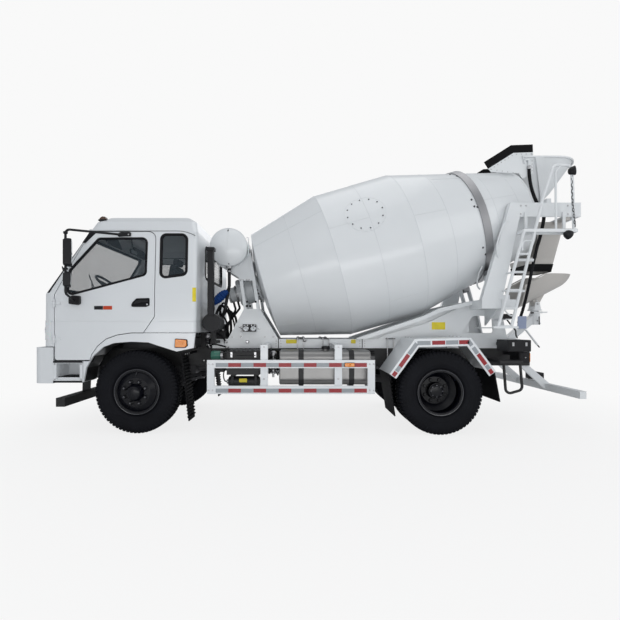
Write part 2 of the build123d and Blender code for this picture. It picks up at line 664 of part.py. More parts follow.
def windscreen_cut(margin):
    """The prism through the cab's front that the windscreen fills, drawn in by margin."""
    wide = 985.0 - margin
    low = 1830.0 + margin
    high = 2500.0 - margin
    pane = outline([(-wide, low, 90), (wide, low, 90), (wide - 70, high, 110), (-wide + 70, high, 110)])
    return extrude(Plane.YZ.offset(-1400) * pane, amount=1000)


shell = cab_solid(0) - cab_solid(CAB_WALL)
right_half = box(-1400, 900, 0, 1300, 700, 3000)
wall_right = (CAB_HALF - 150, CAB_HALF + 20)


def hinge_arm():
    """The arm from the cab's front wall to the tilt pin on one side."""
    plate = side_plate([(CAB_HINGE_X - 66, CAB_BOTTOM + 6), (CAB_HINGE_X, CAB_HINGE_Z - 32),
                        (CAB_HINGE_X + 20, CAB_HINGE_Z + 24),
                        (CAB_HINGE_X - 66,
                         CAB_HINGE_Z + 90)], EAR_INNER + EAR_WALL + 8, EAR_OUTER - EAR_WALL - 8)
    plate += rod((CAB_HINGE_X, EAR_INNER + EAR_WALL + 8, CAB_HINGE_Z),
                 (CAB_HINGE_X, EAR_OUTER - EAR_WALL - 8, CAB_HINGE_Z), 34)
    return plate - rod((CAB_HINGE_X, 200, CAB_HINGE_Z), (CAB_HINGE_X, 500, CAB_HINGE_Z),
                       HINGE_PIN_R + RUN_GAP)


def grille_bars():
    """The right half of the bars that follow the bowed front in the grille's recess."""
    low, high = GRILLE_Z
    face = cab_solid(4) - cab_solid(GRILLE_DEPTH + 4)
    part = None
    for k in range(1, GRILLE_BARS + 1):
        z = low + (high - low) * k / (GRILLE_BARS + 1)
        piece = face & box(-1300, -1100, 0, GRILLE_HALF + 1, z - 12, z + 12)
        part = piece if part is None else part + piece
    return part


def cab_shell():
    """The cab's walls and roof, with door, window and windscreen openings and the grille's recess cut."""
    half = (shell & right_half) - below_cab() - windscreen_cut(0)
    half -= (cab_solid(0) - cab_solid(GRILLE_DEPTH)) & box(-1300, -1100, -1, GRILLE_HALF, *GRILLE_Z)
    half += grille_bars()
    half -= cross_plate(REAR_WINDOW, CAB_REAR - 200, CAB_REAR + 20)
    half -= grown(DOOR_OUTLINE, PANEL_GAP, *wall_right)
    half -= side_plate(QUARTER_WINDOW, *wall_right)
    half = half - headlamp + hinge_arm() + door_pins()
    return half + mirror(half, Plane.XZ)


def cab_floor():
    """The floor: toe boards and footwells, the tunnel over the engine and the deck behind."""
    well = [(-1185, CAB_BOTTOM + 14), (-1010, CAB_BOTTOM + 14), (-1010, FOOTWELL_Z), (-640, FOOTWELL_Z),
            (-540, 1110),
            (-430, FLOOR_Z), (CAB_REAR, FLOOR_Z)]
    side_floor = band(well, FLOOR_WALL, TUNNEL_Y, CAB_HALF)
    wall = side_plate(well[1:6] + [(-1010, FLOOR_Z)], TUNNEL_Y - FLOOR_WALL, TUNNEL_Y)
    half = side_floor + wall
    tunnel = box(-1240, CAB_REAR, -TUNNEL_Y, TUNNEL_Y, FLOOR_Z, FLOOR_Z + FLOOR_WALL)
    floor = (half & cab_solid(CAB_WALL)) - grown(DOOR_OUTLINE, PANEL_GAP, CAB_HALF - CAB_WALL - PANEL_GAP,
                                                 CAB_HALF + 20)
    middle = tunnel & cab_solid(CAB_WALL)
    return middle + floor + mirror(floor, Plane.XZ)


def cab_trim_glass():
    """The fixed panes: windscreen, quarter windows and rear window."""
    outer = cab_solid(12) - cab_solid(18)
    quarter = (outer & right_half) & side_plate(QUARTER_WINDOW, *wall_right)
    screen = outer & windscreen_cut(0)
    rear = outer & cross_plate(REAR_WINDOW, CAB_REAR - 200, CAB_REAR + 20)
    return Compound([screen, rear, quarter, mirror(quarter, Plane.XZ)])


def door(side):
    """One door cut from the cab's own wall, with its window opening and hinge sleeves."""
    leaf = (shell & right_half) & grown(DOOR_OUTLINE, 0, *wall_right)
    leaf -= side_plate(DOOR_WINDOW, *wall_right)
    for z in DOOR_HINGES:
        leaf += door_sleeve(z)
    return leaf if side > 0 else mirror(leaf, Plane.XZ)


DOOR_PIN_X = DOOR_FRONT - PANEL_GAP / 2
DOOR_PIN_Y = CAB_HALF + 14.0
DOOR_HINGES = (1190.0, 1640.0)


def door_sleeve(z):
    """A hinge sleeve and leaf on the right door's outside."""
    sleeve = Pos(DOOR_PIN_X, DOOR_PIN_Y, z) * Cylinder(DOOR_PIN_R + 6, 40)
    sleeve += box(DOOR_PIN_X, DOOR_PIN_X + 70, CAB_HALF, CAB_HALF + 6, z - 20, z + 20)
    return sleeve - Pos(DOOR_PIN_X, DOOR_PIN_Y, z) * Cylinder(DOOR_PIN_R + RUN_GAP, 60)


def door_pins():
    """The right door's hinge pins and their leaves on the front pillar."""
    part = None
    for z in DOOR_HINGES:
        piece = Pos(DOOR_PIN_X, DOOR_PIN_Y, z) * Cylinder(DOOR_PIN_R, 96)
        for end in (-35, 35):
            piece += Pos(DOOR_PIN_X, DOOR_PIN_Y, z + end) * Cylinder(DOOR_PIN_R + 6, 26)
            piece += box(DOOR_PIN_X - 37, DOOR_PIN_X - 4, CAB_HALF - 10, DOOR_PIN_Y + 4, z + end - 13,
                         z + end + 13)
        part = piece if part is None else part + piece
    return part


def door_glass(side):
    """The pane that fills the door's window."""
    wall = (cab_solid(12) - cab_solid(18)) & right_half
    pane = wall & side_plate(DOOR_WINDOW, *wall_right)
    return pane if side > 0 else mirror(pane, Plane.XZ)


def lamp():
    """The right headlamp, let into the cab's front corner."""
    block = cab_solid(-4) - cab_solid(30)
    window = outline([(720, 1180, 30), (1180, 1180), (1180, 1420), (760, 1440, 40)])
    return block & extrude(Plane.YZ.offset(-1400) * window, amount=360)


headlamp = lamp()
put("headlamps", both_sides(headlamp))
put("cab_shell", cab_shell())
put("cab_floor", cab_floor())
put("cab_glass", cab_trim_glass())
for name, side in (("left", -1), ("right", 1)):
    put("door_" + name, door(side))
    put("door_glass_" + name, door_glass(side))


def fenders():
    """The wheel arch panels under the cab's seam, each a skin with its lip turned in over the tyre."""
    tip = ARCH_OPENING[0]
    outer = [(tip[0] - 4, tip[1]), (tip[0] - 4, CAB_SILL - 16), (ARCH_SEAM[0][0] - 8, CAB_SILL - 16)]
    outer += [(x, z - 6) for x, z in ARCH_SEAM] + [(752, FLOOR_Z - 6), (730, 1081)]
    skin = side_plate(outer + list(ARCH_OPENING[::-1]), -CAB_HALF, -CAB_HALF + 30)
    lip = band(ARCH_OPENING, 12, -CAB_HALF, -800)
    half = skin + lip - grown(DOOR_OUTLINE, PANEL_GAP, -CAB_HALF - 20, -700)
    return both_sides(half)


put("front_fenders", fenders())


# Cab fittings

def seats():
    """Driver's and passenger's seats and the bench behind them."""
    pieces = []
    for y in (-640, 640):
        base = box(-150, 330, y - 250, y + 250, FLOOR_Z + 30, 1560)
        cushion = box(-190, 330, y - 260, y + 260, 1560, 1690)
        back = side_plate([(250, 1690), (360, 1690), (440, 2250, 30), (350, 2260, 30)], y - 250, y + 250)
        pieces.append(base + cushion + back)
    pieces.append(box(470, 700, -1040, 1040, FLOOR_Z + 30, 1640))
    return Compound(pieces)


def dashboard():
    """The dashboard across the cab."""
    face = [(-1195, 1500), (-820, 1500, 60), (-760, 1640, 40), (-860, 1760, 40), (-1195, 1800)]
    dash = side_plate(face, -1085, 1085)
    return dash & cab_solid(CAB_WALL)


def steering_wheel():
    """The wheel's rim, spokes and column."""
    place = Pos(-540, -620, 1900) * Rot(0, 40, 0)
    ring = Torus(215, 16)
    wheel = ring + Cylinder(50, 30)
    for turn in (0, 120, 240):
        wheel += Rot(0, 0, turn) * Pos(105, 0, 0) * Box(200, 30, 14)
    wheel += Pos(0, 0, -215) * Cylinder(28, 430)
    return place * wheel


put("seats", seats())
put("dashboard", dashboard() + steering_wheel())


# Bumper, steps and front beam

def bumper():
    """The bumper: a bowed skin with its ends wrapped round, a top flange and two frame brackets."""
    def section(inset, z1, z2):
        bow = ThreePointArc((BUMPER_CORNER + inset, -BUMPER_HALF + inset), (BUMPER_FRONT + inset, 0),
                            (BUMPER_CORNER + inset, BUMPER_HALF - inset))
        rear = -1020.0 + (1 if inset else 0)
        half = BUMPER_HALF - inset
        sides = [Line((BUMPER_CORNER + inset, half), (rear, half)), Line((rear, half), (rear, -half)),
                 Line((rear, -half), (BUMPER_CORNER + inset, -half))]
        face = make_face([bow] + sides)
        face = fillet([v for v in face.vertices() if abs(v.X - BUMPER_CORNER - inset) < 0.01], 90 - inset)
        return extrude(Plane.XY.offset(z1) * face, amount=z2 - z1)
    skin = section(0, BUMPER_LOW, BUMPER_TOP) - section(BUMPER_WALL, BUMPER_LOW - 1, BUMPER_TOP + 1)
    face = section(0, BUMPER_LOW, BUMPER_TOP) - section(INTAKE_DEPTH, BUMPER_LOW - 1, BUMPER_TOP + 1)
    low, high = INTAKE_Z
    skin -= face & box(BUMPER_FRONT - 10, BUMPER_FRONT + 80, -INTAKE_HALF, INTAKE_HALF, low, high)
    for k in range(1, INTAKE_BARS + 1):
        z = low + (high - low) * k / (INTAKE_BARS + 1)
        skin += face & box(BUMPER_FRONT + 4, BUMPER_FRONT + 80, -INTAKE_HALF, INTAKE_HALF, z - 9, z + 9)
    for y1, y2 in (FOG_LAMP_Y, (-FOG_LAMP_Y[1], -FOG_LAMP_Y[0])):
        skin -= face & box(BUMPER_FRONT - 10, BUMPER_FRONT + 120, y1, y2, low + 10, high - 10)
    for y in (-FRAME_Y + 35, FRAME_Y - 35):
        skin += box(BUMPER_FRONT + BUMPER_WALL - 5, FRAME_FRONT, y - 35, y + 35, FRAME_LOW + 10,
                    FRAME_TOP - 45)
        mouth_x = BUMPER_FRONT + TOW_BOSS
        skin += rod((mouth_x, y, TOW_SOCKET_Z), (mouth_x + 40, y, TOW_SOCKET_Z), TOW_BORE_R + 14)
        skin -= rod((mouth_x - 10, y, TOW_SOCKET_Z), (FRAME_FRONT + 10, y, TOW_SOCKET_Z), TOW_BORE_R)
    return skin


def step_boxes():
    """The entry steps behind the bumper, each an open box with its tread, and its arm to the frame."""
    shell_box = box(-1020, -652, -1140, -820, 652, 918)
    shell_box -= box(-980, -690, -1150, -840, 690, 890)
    tread = box(-980, -690, -1120, -840, 690, 712)
    arm = box(-860, -780, -820, -FRAME_Y, 830, 890)
    return both_sides(shell_box + tread + arm)


def front_beam():
    """The black underrun beam across the front, on two hangers from the frame."""
    beam = box(-1010, -900, -1100, 1100, 340, 450)
    hanger = side_plate([(-1010, 420), (-900, 420), (-880, FRAME_LOW + 100), (-1000, FRAME_LOW + 100)],
                        FRAME_Y, FRAME_Y + 14)
    return beam + hanger + mirror(hanger, Plane.XZ)


put("bumper", bumper())
put("step_boxes", step_boxes())
put("front_beam", front_beam())


# Mirrors

MIRROR_X = -720.0
MIRROR_Y = 1410.0
MIRROR_TURN = 25.0


def mirrors(side):
    """The mirror arm on the door with its two mirror heads."""
    arm = tube([(-140, -1088, 2500), (MIRROR_X, -MIRROR_Y, 2500), (MIRROR_X, -MIRROR_Y, 1740),
                (MIRROR_X - 20, -1140, 1650)], 14, 50)
    big = box(-10, 60, -94, 94, 2065, 2385)
    small = box(-10, 50, -76, 76, 1816, 1994)
    heads = fillet(big.edges().filter_by(Axis.X), 30) + fillet(small.edges().filter_by(Axis.X), 25)
    heads = Pos(MIRROR_X, -MIRROR_Y, 0) * Rot(0, 0, MIRROR_TURN) * heads
    part = arm + heads - cab_solid(0)
    return part if side < 0 else mirror(part, Plane.XZ)


for name, side in (("left", -1), ("right", 1)):
    put("mirrors_" + name, mirrors(side))


# Water tank and front support

def water_tank():
    """The round water tank with its dished ends, a filler on top and an outlet boss below."""
    knuckle_y = WATER_HALF - WATER_DISH
    barrel = rod((WATER_X, -knuckle_y, WATER_Z), (WATER_X, knuckle_y, WATER_Z), WATER_R)
    ball_r = (WATER_R ** 2 + WATER_DISH ** 2) / (2 * WATER_DISH)
    ball_y = WATER_HALF - ball_r
    reach = rod((WATER_X, 0, WATER_Z), (WATER_X, WATER_HALF + 1, WATER_Z), WATER_R)
    ball = Pos(WATER_X, ball_y, WATER_Z) * Sphere(ball_r)
    end = (ball & reach) - rod((WATER_X, -1, WATER_Z), (WATER_X, knuckle_y - 20, WATER_Z), WATER_R + 1)
    tank = barrel + end + mirror(end, Plane.XZ)
    tank += rod((WATER_X, 0, WATER_Z + WATER_R - 20), (WATER_X, 0, WATER_Z + WATER_R + 30), 70)
    return tank + rod((WATER_X, HOSE_Y, WATER_Z - WATER_R + 30), (WATER_X, HOSE_Y, WATER_Z - WATER_R - 30),
                      40)


put("water_tank", water_tank())


PLATE_TOP = 1600.0
PLATE_TOP_FRONT = 1265.0
PLATE_TOP_REAR = 1492.0
MAST_TOP = 2040.0
MAST_LEAN = 70.0
MAST_WIDTH = 45.0
MAST_DEPTH = 60.0
CONTROL_X = (1251.0, 1449.0)
CONTROL_Z = (1273.0, 1386.0)
CONTROL_DEPTH = 60.0


def pedestal_side():
    """The left trapezoid plate with its folded edges, and the two leaning masts on it."""
    foot_front = 1038
    foot_rear = 1748
    corners = [(foot_front, SUBFRAME_TOP), (foot_rear, SUBFRAME_TOP), (PLATE_TOP_REAR, PLATE_TOP),
               (PLATE_TOP_FRONT, PLATE_TOP)]
    side = side_plate(corners, -FRAME_Y, -FRAME_Y + 20)
    side += side_plate([(foot_front, SUBFRAME_TOP), (foot_front + 24, SUBFRAME_TOP),
                        (PLATE_TOP_FRONT + 20, PLATE_TOP),
                        (PLATE_TOP_FRONT, PLATE_TOP)], -FRAME_Y, -FRAME_Y + 90)
    side += side_plate([(foot_rear - 24, SUBFRAME_TOP), (foot_rear, SUBFRAME_TOP),
                        (PLATE_TOP_REAR, PLATE_TOP),
                        (PLATE_TOP_REAR - 20, PLATE_TOP)], -FRAME_Y, -FRAME_Y + 90)
    for x in (PLATE_TOP_FRONT, PLATE_TOP_REAR - MAST_WIDTH):
        side += side_plate([(x, PLATE_TOP - 20), (x + MAST_WIDTH, PLATE_TOP - 20),
                            (x + MAST_WIDTH - MAST_LEAN, MAST_TOP),
                            (x - MAST_LEAN, MAST_TOP)], -FRAME_Y, -FRAME_Y + MAST_DEPTH)
    side += box(PLATE_TOP_FRONT - MAST_LEAN, PLATE_TOP_REAR - MAST_LEAN, -FRAME_Y, -FRAME_Y + MAST_DEPTH,
                MAST_TOP - 40, MAST_TOP)
    return side


def tank_saddle():
    """The left saddle plate that rises from the masts and hugs the water tank from below."""
    front = WATER_X - 190
    rear = PLATE_TOP_REAR - MAST_LEAN
    plate = [(PLATE_TOP_FRONT - MAST_LEAN, MAST_TOP), (rear, MAST_TOP), (rear - 60, WATER_Z - 60),
             (front + 250, WATER_Z - 60),
             (front, 2300), (front, 2230)]
    saddle = side_plate(plate, -FRAME_Y, -FRAME_Y + 14)
    saddle += side_plate([(front, 2175), (front + 60, 2175), (rear, MAST_TOP), (rear, MAST_TOP + 330),
                          (front, 2330)],
                         -FRAME_Y, -FRAME_Y + MAST_DEPTH) & rod((WATER_X, -FRAME_Y, WATER_Z),
                                                                (WATER_X, 0, WATER_Z), WATER_R + 14)
    return saddle


def front_pedestal():
    """The front support on the subframe that carries the drum's gearbox and the water tank, and its control box."""
    side = pedestal_side() + tank_saddle()
    stand = side + mirror(side, Plane.XZ)
    stand += box(PLATE_TOP_FRONT, PLATE_TOP_REAR, -FRAME_Y, FRAME_Y, PLATE_TOP - 20, PLATE_TOP)
    stand += box(PLATE_TOP_FRONT - MAST_LEAN, PLATE_TOP_FRONT - MAST_LEAN + 50, -FRAME_Y, FRAME_Y,
                 MAST_TOP - 40, MAST_TOP)
    wall = DRUM_PLACE * Pos(0, 0, -330) * Box(2 * 560, 2 * 300, 30)
    wall &= box(900, 1800, -300, 300, PLATE_TOP, 2120)
    stand += wall
    stand += fillet(box(*CONTROL_X, -FRAME_Y - CONTROL_DEPTH, -FRAME_Y,
                        *CONTROL_Z).edges().filter_by(Axis.Y), 14)
    return stand - rod((WATER_X, -WATER_HALF, WATER_Z), (WATER_X, WATER_HALF, WATER_Z), WATER_R + RUN_GAP)


def drum_gearbox():
    """The drum's reduction gearbox and hydraulic motor, on the drum's axis."""
    profile = [(-588, 0), (-588, 110), (-430, 110), (-430, 190), (-345.5, 190), (-345.5, 260),
               (-314.5, 260),
               (-314.5, 200), (-200, 200), (-190.3, 180), (-190.3, 0)]
    body = lathe(profile)
    return body


gear = drum_gearbox()
put("front_pedestal", front_pedestal() - gear)
put("drum_gearbox", gear)


# Drum

def drum_front():
    """The dished head with its flange and the front cone."""
    wall = DRUM_WALL
    cone = [(0, DRUM_FRONT_R), (DRUM_BARREL_S, DRUM_R), (DRUM_BARREL_S, DRUM_R - wall),
            (0, DRUM_FRONT_R - wall)]
    ball_r = (DRUM_FRONT_R ** 2 + DRUM_DISH ** 2) / (2 * DRUM_DISH)
    half = math.asin(DRUM_FRONT_R / ball_r) / 2
    mid_r = ball_r * math.sin(half)
    mid_s = ball_r * (1 - math.cos(half)) - DRUM_DISH
    edges = [ThreePointArc((0, 0, -DRUM_DISH), (mid_r, 0, mid_s), (DRUM_FRONT_R, 0, 0)),
             Line((DRUM_FRONT_R, 0, 0), (DRUM_FRONT_R, 0, wall)),
             ThreePointArc((DRUM_FRONT_R, 0, wall), (mid_r, 0, mid_s + wall), (0, 0, wall - DRUM_DISH)),
             Line((0, 0, wall - DRUM_DISH), (0, 0, -DRUM_DISH))]
    head = DRUM_PLACE * revolve(make_face(edges), Axis.Z)
    flange = lathe([(-190, 0), (-190, 180), (-DRUM_DISH + 12, 180), (-DRUM_DISH + 12, 0)])
    return lathe(cone) + head + flange


def drum_rear():
    """The rear cone up to the mouth's rolled edge."""
    wall = DRUM_WALL
    cone = [(DRUM_CONE_S, DRUM_R), (DRUM_MOUTH_S, DRUM_MOUTH_R), (DRUM_MOUTH_S, DRUM_MOUTH_R - wall),
            (DRUM_CONE_S, DRUM_R - wall)]
    return lathe(cone)


put("drum_front", drum_front())
put("drum_barrel", lathe([(DRUM_BARREL_S, DRUM_R), (DRUM_CONE_S, DRUM_R), (DRUM_CONE_S, DRUM_R - DRUM_WALL),
                          (DRUM_BARREL_S, DRUM_R - DRUM_WALL)]))
put("drum_rear", drum_rear())
ring_a = RING_S - RING_WIDTH / 2
ring_b = RING_S + RING_WIDTH / 2
put("drum_ring", lathe([(ring_a, cone_r(ring_a)), (ring_a, RING_R), (ring_b, RING_R),
                        (ring_b, cone_r(ring_b))]))

# Rollers under the ring
ROLLER_OUT = RING_R + ROLLER_GAP + ROLLER_R


def roller_centre(side):
    """Where a roller's middle is."""
    angle = math.radians(ROLLER_ANGLE)
    return drum_point(RING_S, -ROLLER_OUT * math.cos(angle), side * ROLLER_OUT * math.sin(angle))


def roller_place(side):
    """The placement that puts Z along the drum's axis at a roller's middle."""
    return Pos(*roller_centre(side)) * Rot(0, 90 - DRUM_TILT, 0)


def roller(side):
    """A flanged roller with its bore."""
    wheel = Cylinder(ROLLER_R, ROLLER_WIDTH) - Cylinder(ROLLER_SHAFT_R + ROLLER_GAP, ROLLER_WIDTH + 10)
    return roller_place(side) * wheel


for name, side in (("left", -1), ("right", 1)):
    put("drum_roller_" + name, roller(side))

# Rear support
BEAM_TOP_Z = 1706.0
BEAM_DEPTH = 120.0
BEAM_FRONT = 4450.0
BEAM_REAR = 4900.0


def roller_stand(side):
    """The cheeks and shaft that hold one roller, standing on the cross beam."""
    x, y, z = roller_centre(side)
    stand = roller_place(side) * Cylinder(ROLLER_SHAFT_R, ROLLER_WIDTH + 60)
    for end in (-1, 1):
        stand += roller_place(side) * Pos(0, 0, end * (ROLLER_WIDTH / 2 + 18)) * (
            Cylinder(60, 20) + Pos(200, 0, 0) * Box(400, 120, 20))
    return stand & box(x - 400, x + 400, y - 200, y + 200, BEAM_TOP_Z, z + 200)


# The long beam that rises under the drum from the subframe to the cross beam: its upper edge
STRINGER = ((2846.0, SUBFRAME_TOP + 12), (3774.0, 1500.0), (4001.0, 1605.0), (BEAM_FRONT, BEAM_TOP_Z))
STRINGER_WEB_Y = 400.0
STRINGER_OUT_Y = 520.0
STRINGER_LIP = 55.0


def stringer():
    """The right beam under the drum: its web, the sloping flange on top and the flange's turned-down lip."""
    foot = [(BEAM_FRONT, SUBFRAME_TOP), (STRINGER[0][0], SUBFRAME_TOP)]
    web = side_plate(list(STRINGER) + foot, STRINGER_WEB_Y - 10, STRINGER_WEB_Y)
    flange = band(STRINGER[::-1], 12, STRINGER_WEB_Y - 20, STRINGER_OUT_Y)
    lip = band(STRINGER[::-1], STRINGER_LIP, STRINGER_OUT_Y - 8, STRINGER_OUT_Y)
    lip &= box(2800, BEAM_FRONT, STRINGER_OUT_Y - 10, STRINGER_OUT_Y + 1, SUBFRAME_TOP, BEAM_TOP_Z + 20)
    return web + flange + lip


def rear_pedestal():
    """Side plates rising from the subframe to the cross beam that carries the rollers, with the beams ahead of them."""
    beam_low = BEAM_TOP_Z - BEAM_DEPTH
    side = [(3150, SUBFRAME_TOP), (4981, SUBFRAME_TOP), (BEAM_REAR, beam_low), (BEAM_REAR, BEAM_TOP_Z),
            (BEAM_FRONT, BEAM_TOP_Z),
            (4230, beam_low), (3850, 1400), (3250, SUBFRAME_TOP + 60)]
    window = [(4330, 1260, 30), (4780, 1260, 30), (4760, 1500, 30), (4500, 1500, 30)]
    plate = side_plate(side, FRAME_Y - 12, FRAME_Y) - side_plate(window, FRAME_Y - 40, FRAME_Y + 10)
    half = plate + stringer()
    half += side_plate([(4981 - 24, SUBFRAME_TOP), (4981, SUBFRAME_TOP), (BEAM_REAR, beam_low),
                        (BEAM_REAR - 24, beam_low)],
                       FRAME_Y - 80, FRAME_Y)
    stand = half + mirror(half, Plane.XZ)
    reach = POST_Y + POST_WIDTH / 2
    stand += box(BEAM_FRONT, BEAM_REAR, -reach, reach, beam_low, BEAM_TOP_Z)
    for side_sign in (-1, 1):
        gusset = cross_plate([(side_sign * (FRAME_Y - 1), beam_low - 220),
                              (side_sign * (FRAME_Y - 1), beam_low + 1),
                              (side_sign * (reach - 20), beam_low + 1)], 4660, 4680)
        stand += gusset + roller_stand(side_sign)
    return stand


def rear_posts():
    """The two leaning box posts with the arm plates on them and the bar across their rear ends."""
    lean = [(BEAM_FRONT, BEAM_TOP_Z), (BEAM_FRONT + POST_FOOT, BEAM_TOP_Z),
            (ARM_FRONT + POST_HEAD, ARM_TOP),
            (ARM_FRONT, ARM_TOP)]
    outer = POST_Y + POST_WIDTH / 2
    frame = side_plate(lean, outer - POST_WIDTH, outer)
    frame += box(ARM_FRONT, ARM_REAR, outer - ARM_WALL, outer, ARM_LOW, ARM_TOP)
    frame = frame + mirror(frame, Plane.XZ)
    return frame + box(ARM_REAR - 60, ARM_REAR, -outer, outer, ARM_LOW, ARM_LOW + 80)


put("rear_pedestal", rear_pedestal())
put("rear_posts", rear_posts())


# Charge hopper and outlet funnel

def funnel_section(level, inset):
    """One level of a funnel, drawn in by inset, with round rear corners."""
    z, front, rear, half, corner = level
    face = outline([(front + inset, -half + inset), (rear - inset, -half + inset),
                    (rear - inset, half - inset), (front + inset, half - inset)])
    face = fillet([v for v in face.vertices() if v.X > (front + rear) / 2], corner - inset)
    return Plane.XY.offset(z) * face


def funnel_solid(levels, inset):
    """A tapering block with round rear corners; a level is z, front, rear, half width, corner radius."""
    return loft([funnel_section(level, inset) for level in levels], ruled=True)


def funnel(levels, wall):
    """A tapering open funnel with walls of even thickness."""
    return funnel_solid(levels, 0) - funnel_solid(levels, wall)


MOUTH_LEAN = math.tan(math.radians(DRUM_TILT))
MOUTH_X, MOUTH_Y, MOUTH_Z = drum_point(DRUM_MOUTH_S, 0)
ARM_INNER = POST_Y + POST_WIDTH / 2 - ARM_WALL


CHEEK_Y = 450.0
CHEEK_TOP = ((4700.0, 3568.0), (5053.0, 3790.0), (5330.0, 3800.0))
APRON_HEIGHT = 110.0
HOPPER_LEVELS = ((2960.0, 5120.0, 5400.0, 240.0, 120.0), (3300.0, 5150.0, 5730.0, 340.0, 230.0),
                 (HOPPER_RIM_Z, 5180.0, 6050.0, 480.0, 380.0))
OUTLET_LEVELS = ((OUTLET_LOW, 5380.0, 5740.0, 230.0, 60.0), (2340.0, 5372.0, 5755.0, 300.0, 70.0),
                 (ARM_LOW, 5290.0, 5745.0, 560.0, 90.0))
RIM_DEPTH = 22.0
RIM_WALL = 10.0
RIB_HEIGHT = 25.0
SKIRT_TOP = OUTLET_LOW + 92.0
SKIRT_LOW = OUTLET_LOW - 12.0
SKIRT_WALL = 7.0


def charge_hopper():
    """The hopper that feeds the drum's mouth, with its cheeks over the mouth and its feet on the arms."""
    body = funnel(HOPPER_LEVELS, HOPPER_WALL)
    rib_side = [(5345, HOPPER_RIM_Z - 20), (5465, HOPPER_RIM_Z - 20), (5640, 3060), (5550, 3060)]
    rib = (funnel_solid(HOPPER_LEVELS, -RIB_HEIGHT) - funnel_solid(HOPPER_LEVELS,
                                                                   HOPPER_WALL / 2)) & side_plate(rib_side,
                                                                                                  150, 520)
    rim_level = (HOPPER_RIM_Z - RIM_DEPTH,) + HOPPER_LEVELS[-1][1:]
    rim = extrude(funnel_section(rim_level, -RIM_WALL) - funnel_section(rim_level, HOPPER_WALL),
                  amount=RIM_DEPTH)
    cheek = side_plate(list(CHEEK_TOP) + [(5330, 3500), (5180, 3420), (5130, 3505), (4745, 3520)], CHEEK_Y,
                       CHEEK_Y + 10)
    wing = cross_plate([(300, 3700), (CHEEK_Y, 3700), (CHEEK_Y, 3795), (-CHEEK_Y, 3795), (-CHEEK_Y, 3700),
                        (-300, 3700)], 5172, 5188)
    foot = box(5310, 5370, 244, ARM_INNER, 2965, 3040)
    half = cheek + foot + rib
    return body + rim + half + mirror(half, Plane.XZ) + wing


def hopper_apron():
    """The rubber strips that stand on the cheeks and across the hopper's front."""
    strip = band(CHEEK_TOP, APRON_HEIGHT, CHEEK_Y + 1, CHEEK_Y + 9)
    cross = box(5174, 5184, -CHEEK_Y, CHEEK_Y, 3795, 3795 + APRON_HEIGHT)
    return Compound([strip + mirror(strip, Plane.XZ) + cross, outlet_skirt()])


def outlet_skirt():
    """The rubber skirt round the outlet's lower end."""
    lower = (SKIRT_LOW,) + OUTLET_LEVELS[0][1:]
    levels = (lower,) + OUTLET_LEVELS
    skirt = funnel_solid(levels, -SKIRT_WALL - RUN_GAP) - funnel_solid(levels, -RUN_GAP)
    return skirt & box(5200, 5900, -400, 400, SKIRT_LOW, SKIRT_TOP)


put("hopper_apron", hopper_apron())


def outlet_funnel():
    """The discharge funnel behind and under the drum's mouth, hung on the arms."""
    body = funnel(OUTLET_LEVELS, HOPPER_WALL)
    gap = 30.0
    low = 2345.0
    high = ARM_LOW + 10
    clear = side_plate([(4900, low), (MOUTH_X - (low - MOUTH_Z) * MOUTH_LEAN + gap, low),
                        (MOUTH_X - (high - MOUTH_Z) * MOUTH_LEAN + gap, high), (4900, high)], -700, 700)
    tie = box(5560, 5620, 548, ARM_INNER, ARM_LOW - 40, ARM_LOW)
    tie += box(5560, 5620, ARM_INNER - 14, ARM_INNER, ARM_LOW - 40, ARM_LOW + 60)
    return body - clear + tie + mirror(tie, Plane.XZ)


put("charge_hopper", charge_hopper())
put("outlet_funnel", outlet_funnel())


# Discharge chute
COLUMN_R = 50.0
SOCKET_LOW = 1380.0
SOCKET_TOP = 1530.0


def chute_column():
    """The bracket from the subframe's rear end and the socket in which the chute's column turns."""
    arm = side_plate([(SUBFRAME_REAR, FRAME_TOP + 10), (SUBFRAME_REAR, SUBFRAME_TOP),
                      (CHUTE_AXIS_X - 60, SOCKET_TOP - 10),
                      (CHUTE_AXIS_X - 60, SOCKET_LOW + 10)], -60, 60)
    plate = box(SUBFRAME_REAR, SUBFRAME_REAR + 14, -FRAME_Y, FRAME_Y, FRAME_TOP, SUBFRAME_TOP)
    socket = Pos(CHUTE_AXIS_X, 0, (SOCKET_LOW + SOCKET_TOP) / 2) * Cylinder(75, SOCKET_TOP - SOCKET_LOW)
    bore = Pos(CHUTE_AXIS_X, 0, (SOCKET_LOW + SOCKET_TOP) / 2) * Cylinder(COLUMN_R + RUN_GAP, 400)
    return arm + plate + socket - bore


def chute_yoke():
    """The turning column, its collar on the socket and the fork that carries the trough."""
    column = Pos(CHUTE_AXIS_X, 0, SOCKET_LOW) * extrude(Plane.XY * Circle(COLUMN_R),
                                                        amount=1600 - SOCKET_LOW)
    collar = Pos(CHUTE_AXIS_X, 0, SOCKET_TOP + RUN_GAP + 10) * Cylinder(72, 20)
    base = box(CHUTE_AXIS_X - 60, CHUTE_AXIS_X + 60, -90, 90, 1590, 1610)
    fork = column + collar + base
    for y in (-90, 70):
        fork += side_plate([(CHUTE_AXIS_X - 50, 1600), (CHUTE_AXIS_X + 50, 1600),
                            (CHUTE_AXIS_X + 30, CHUTE_PIN_Z + 30, 20),
                            (CHUTE_AXIS_X - 30, CHUTE_PIN_Z + 30, 20)], y, y + 20)
    return fork + rod((CHUTE_AXIS_X, -100, CHUTE_PIN_Z), (CHUTE_AXIS_X, 100, CHUTE_PIN_Z), 15)


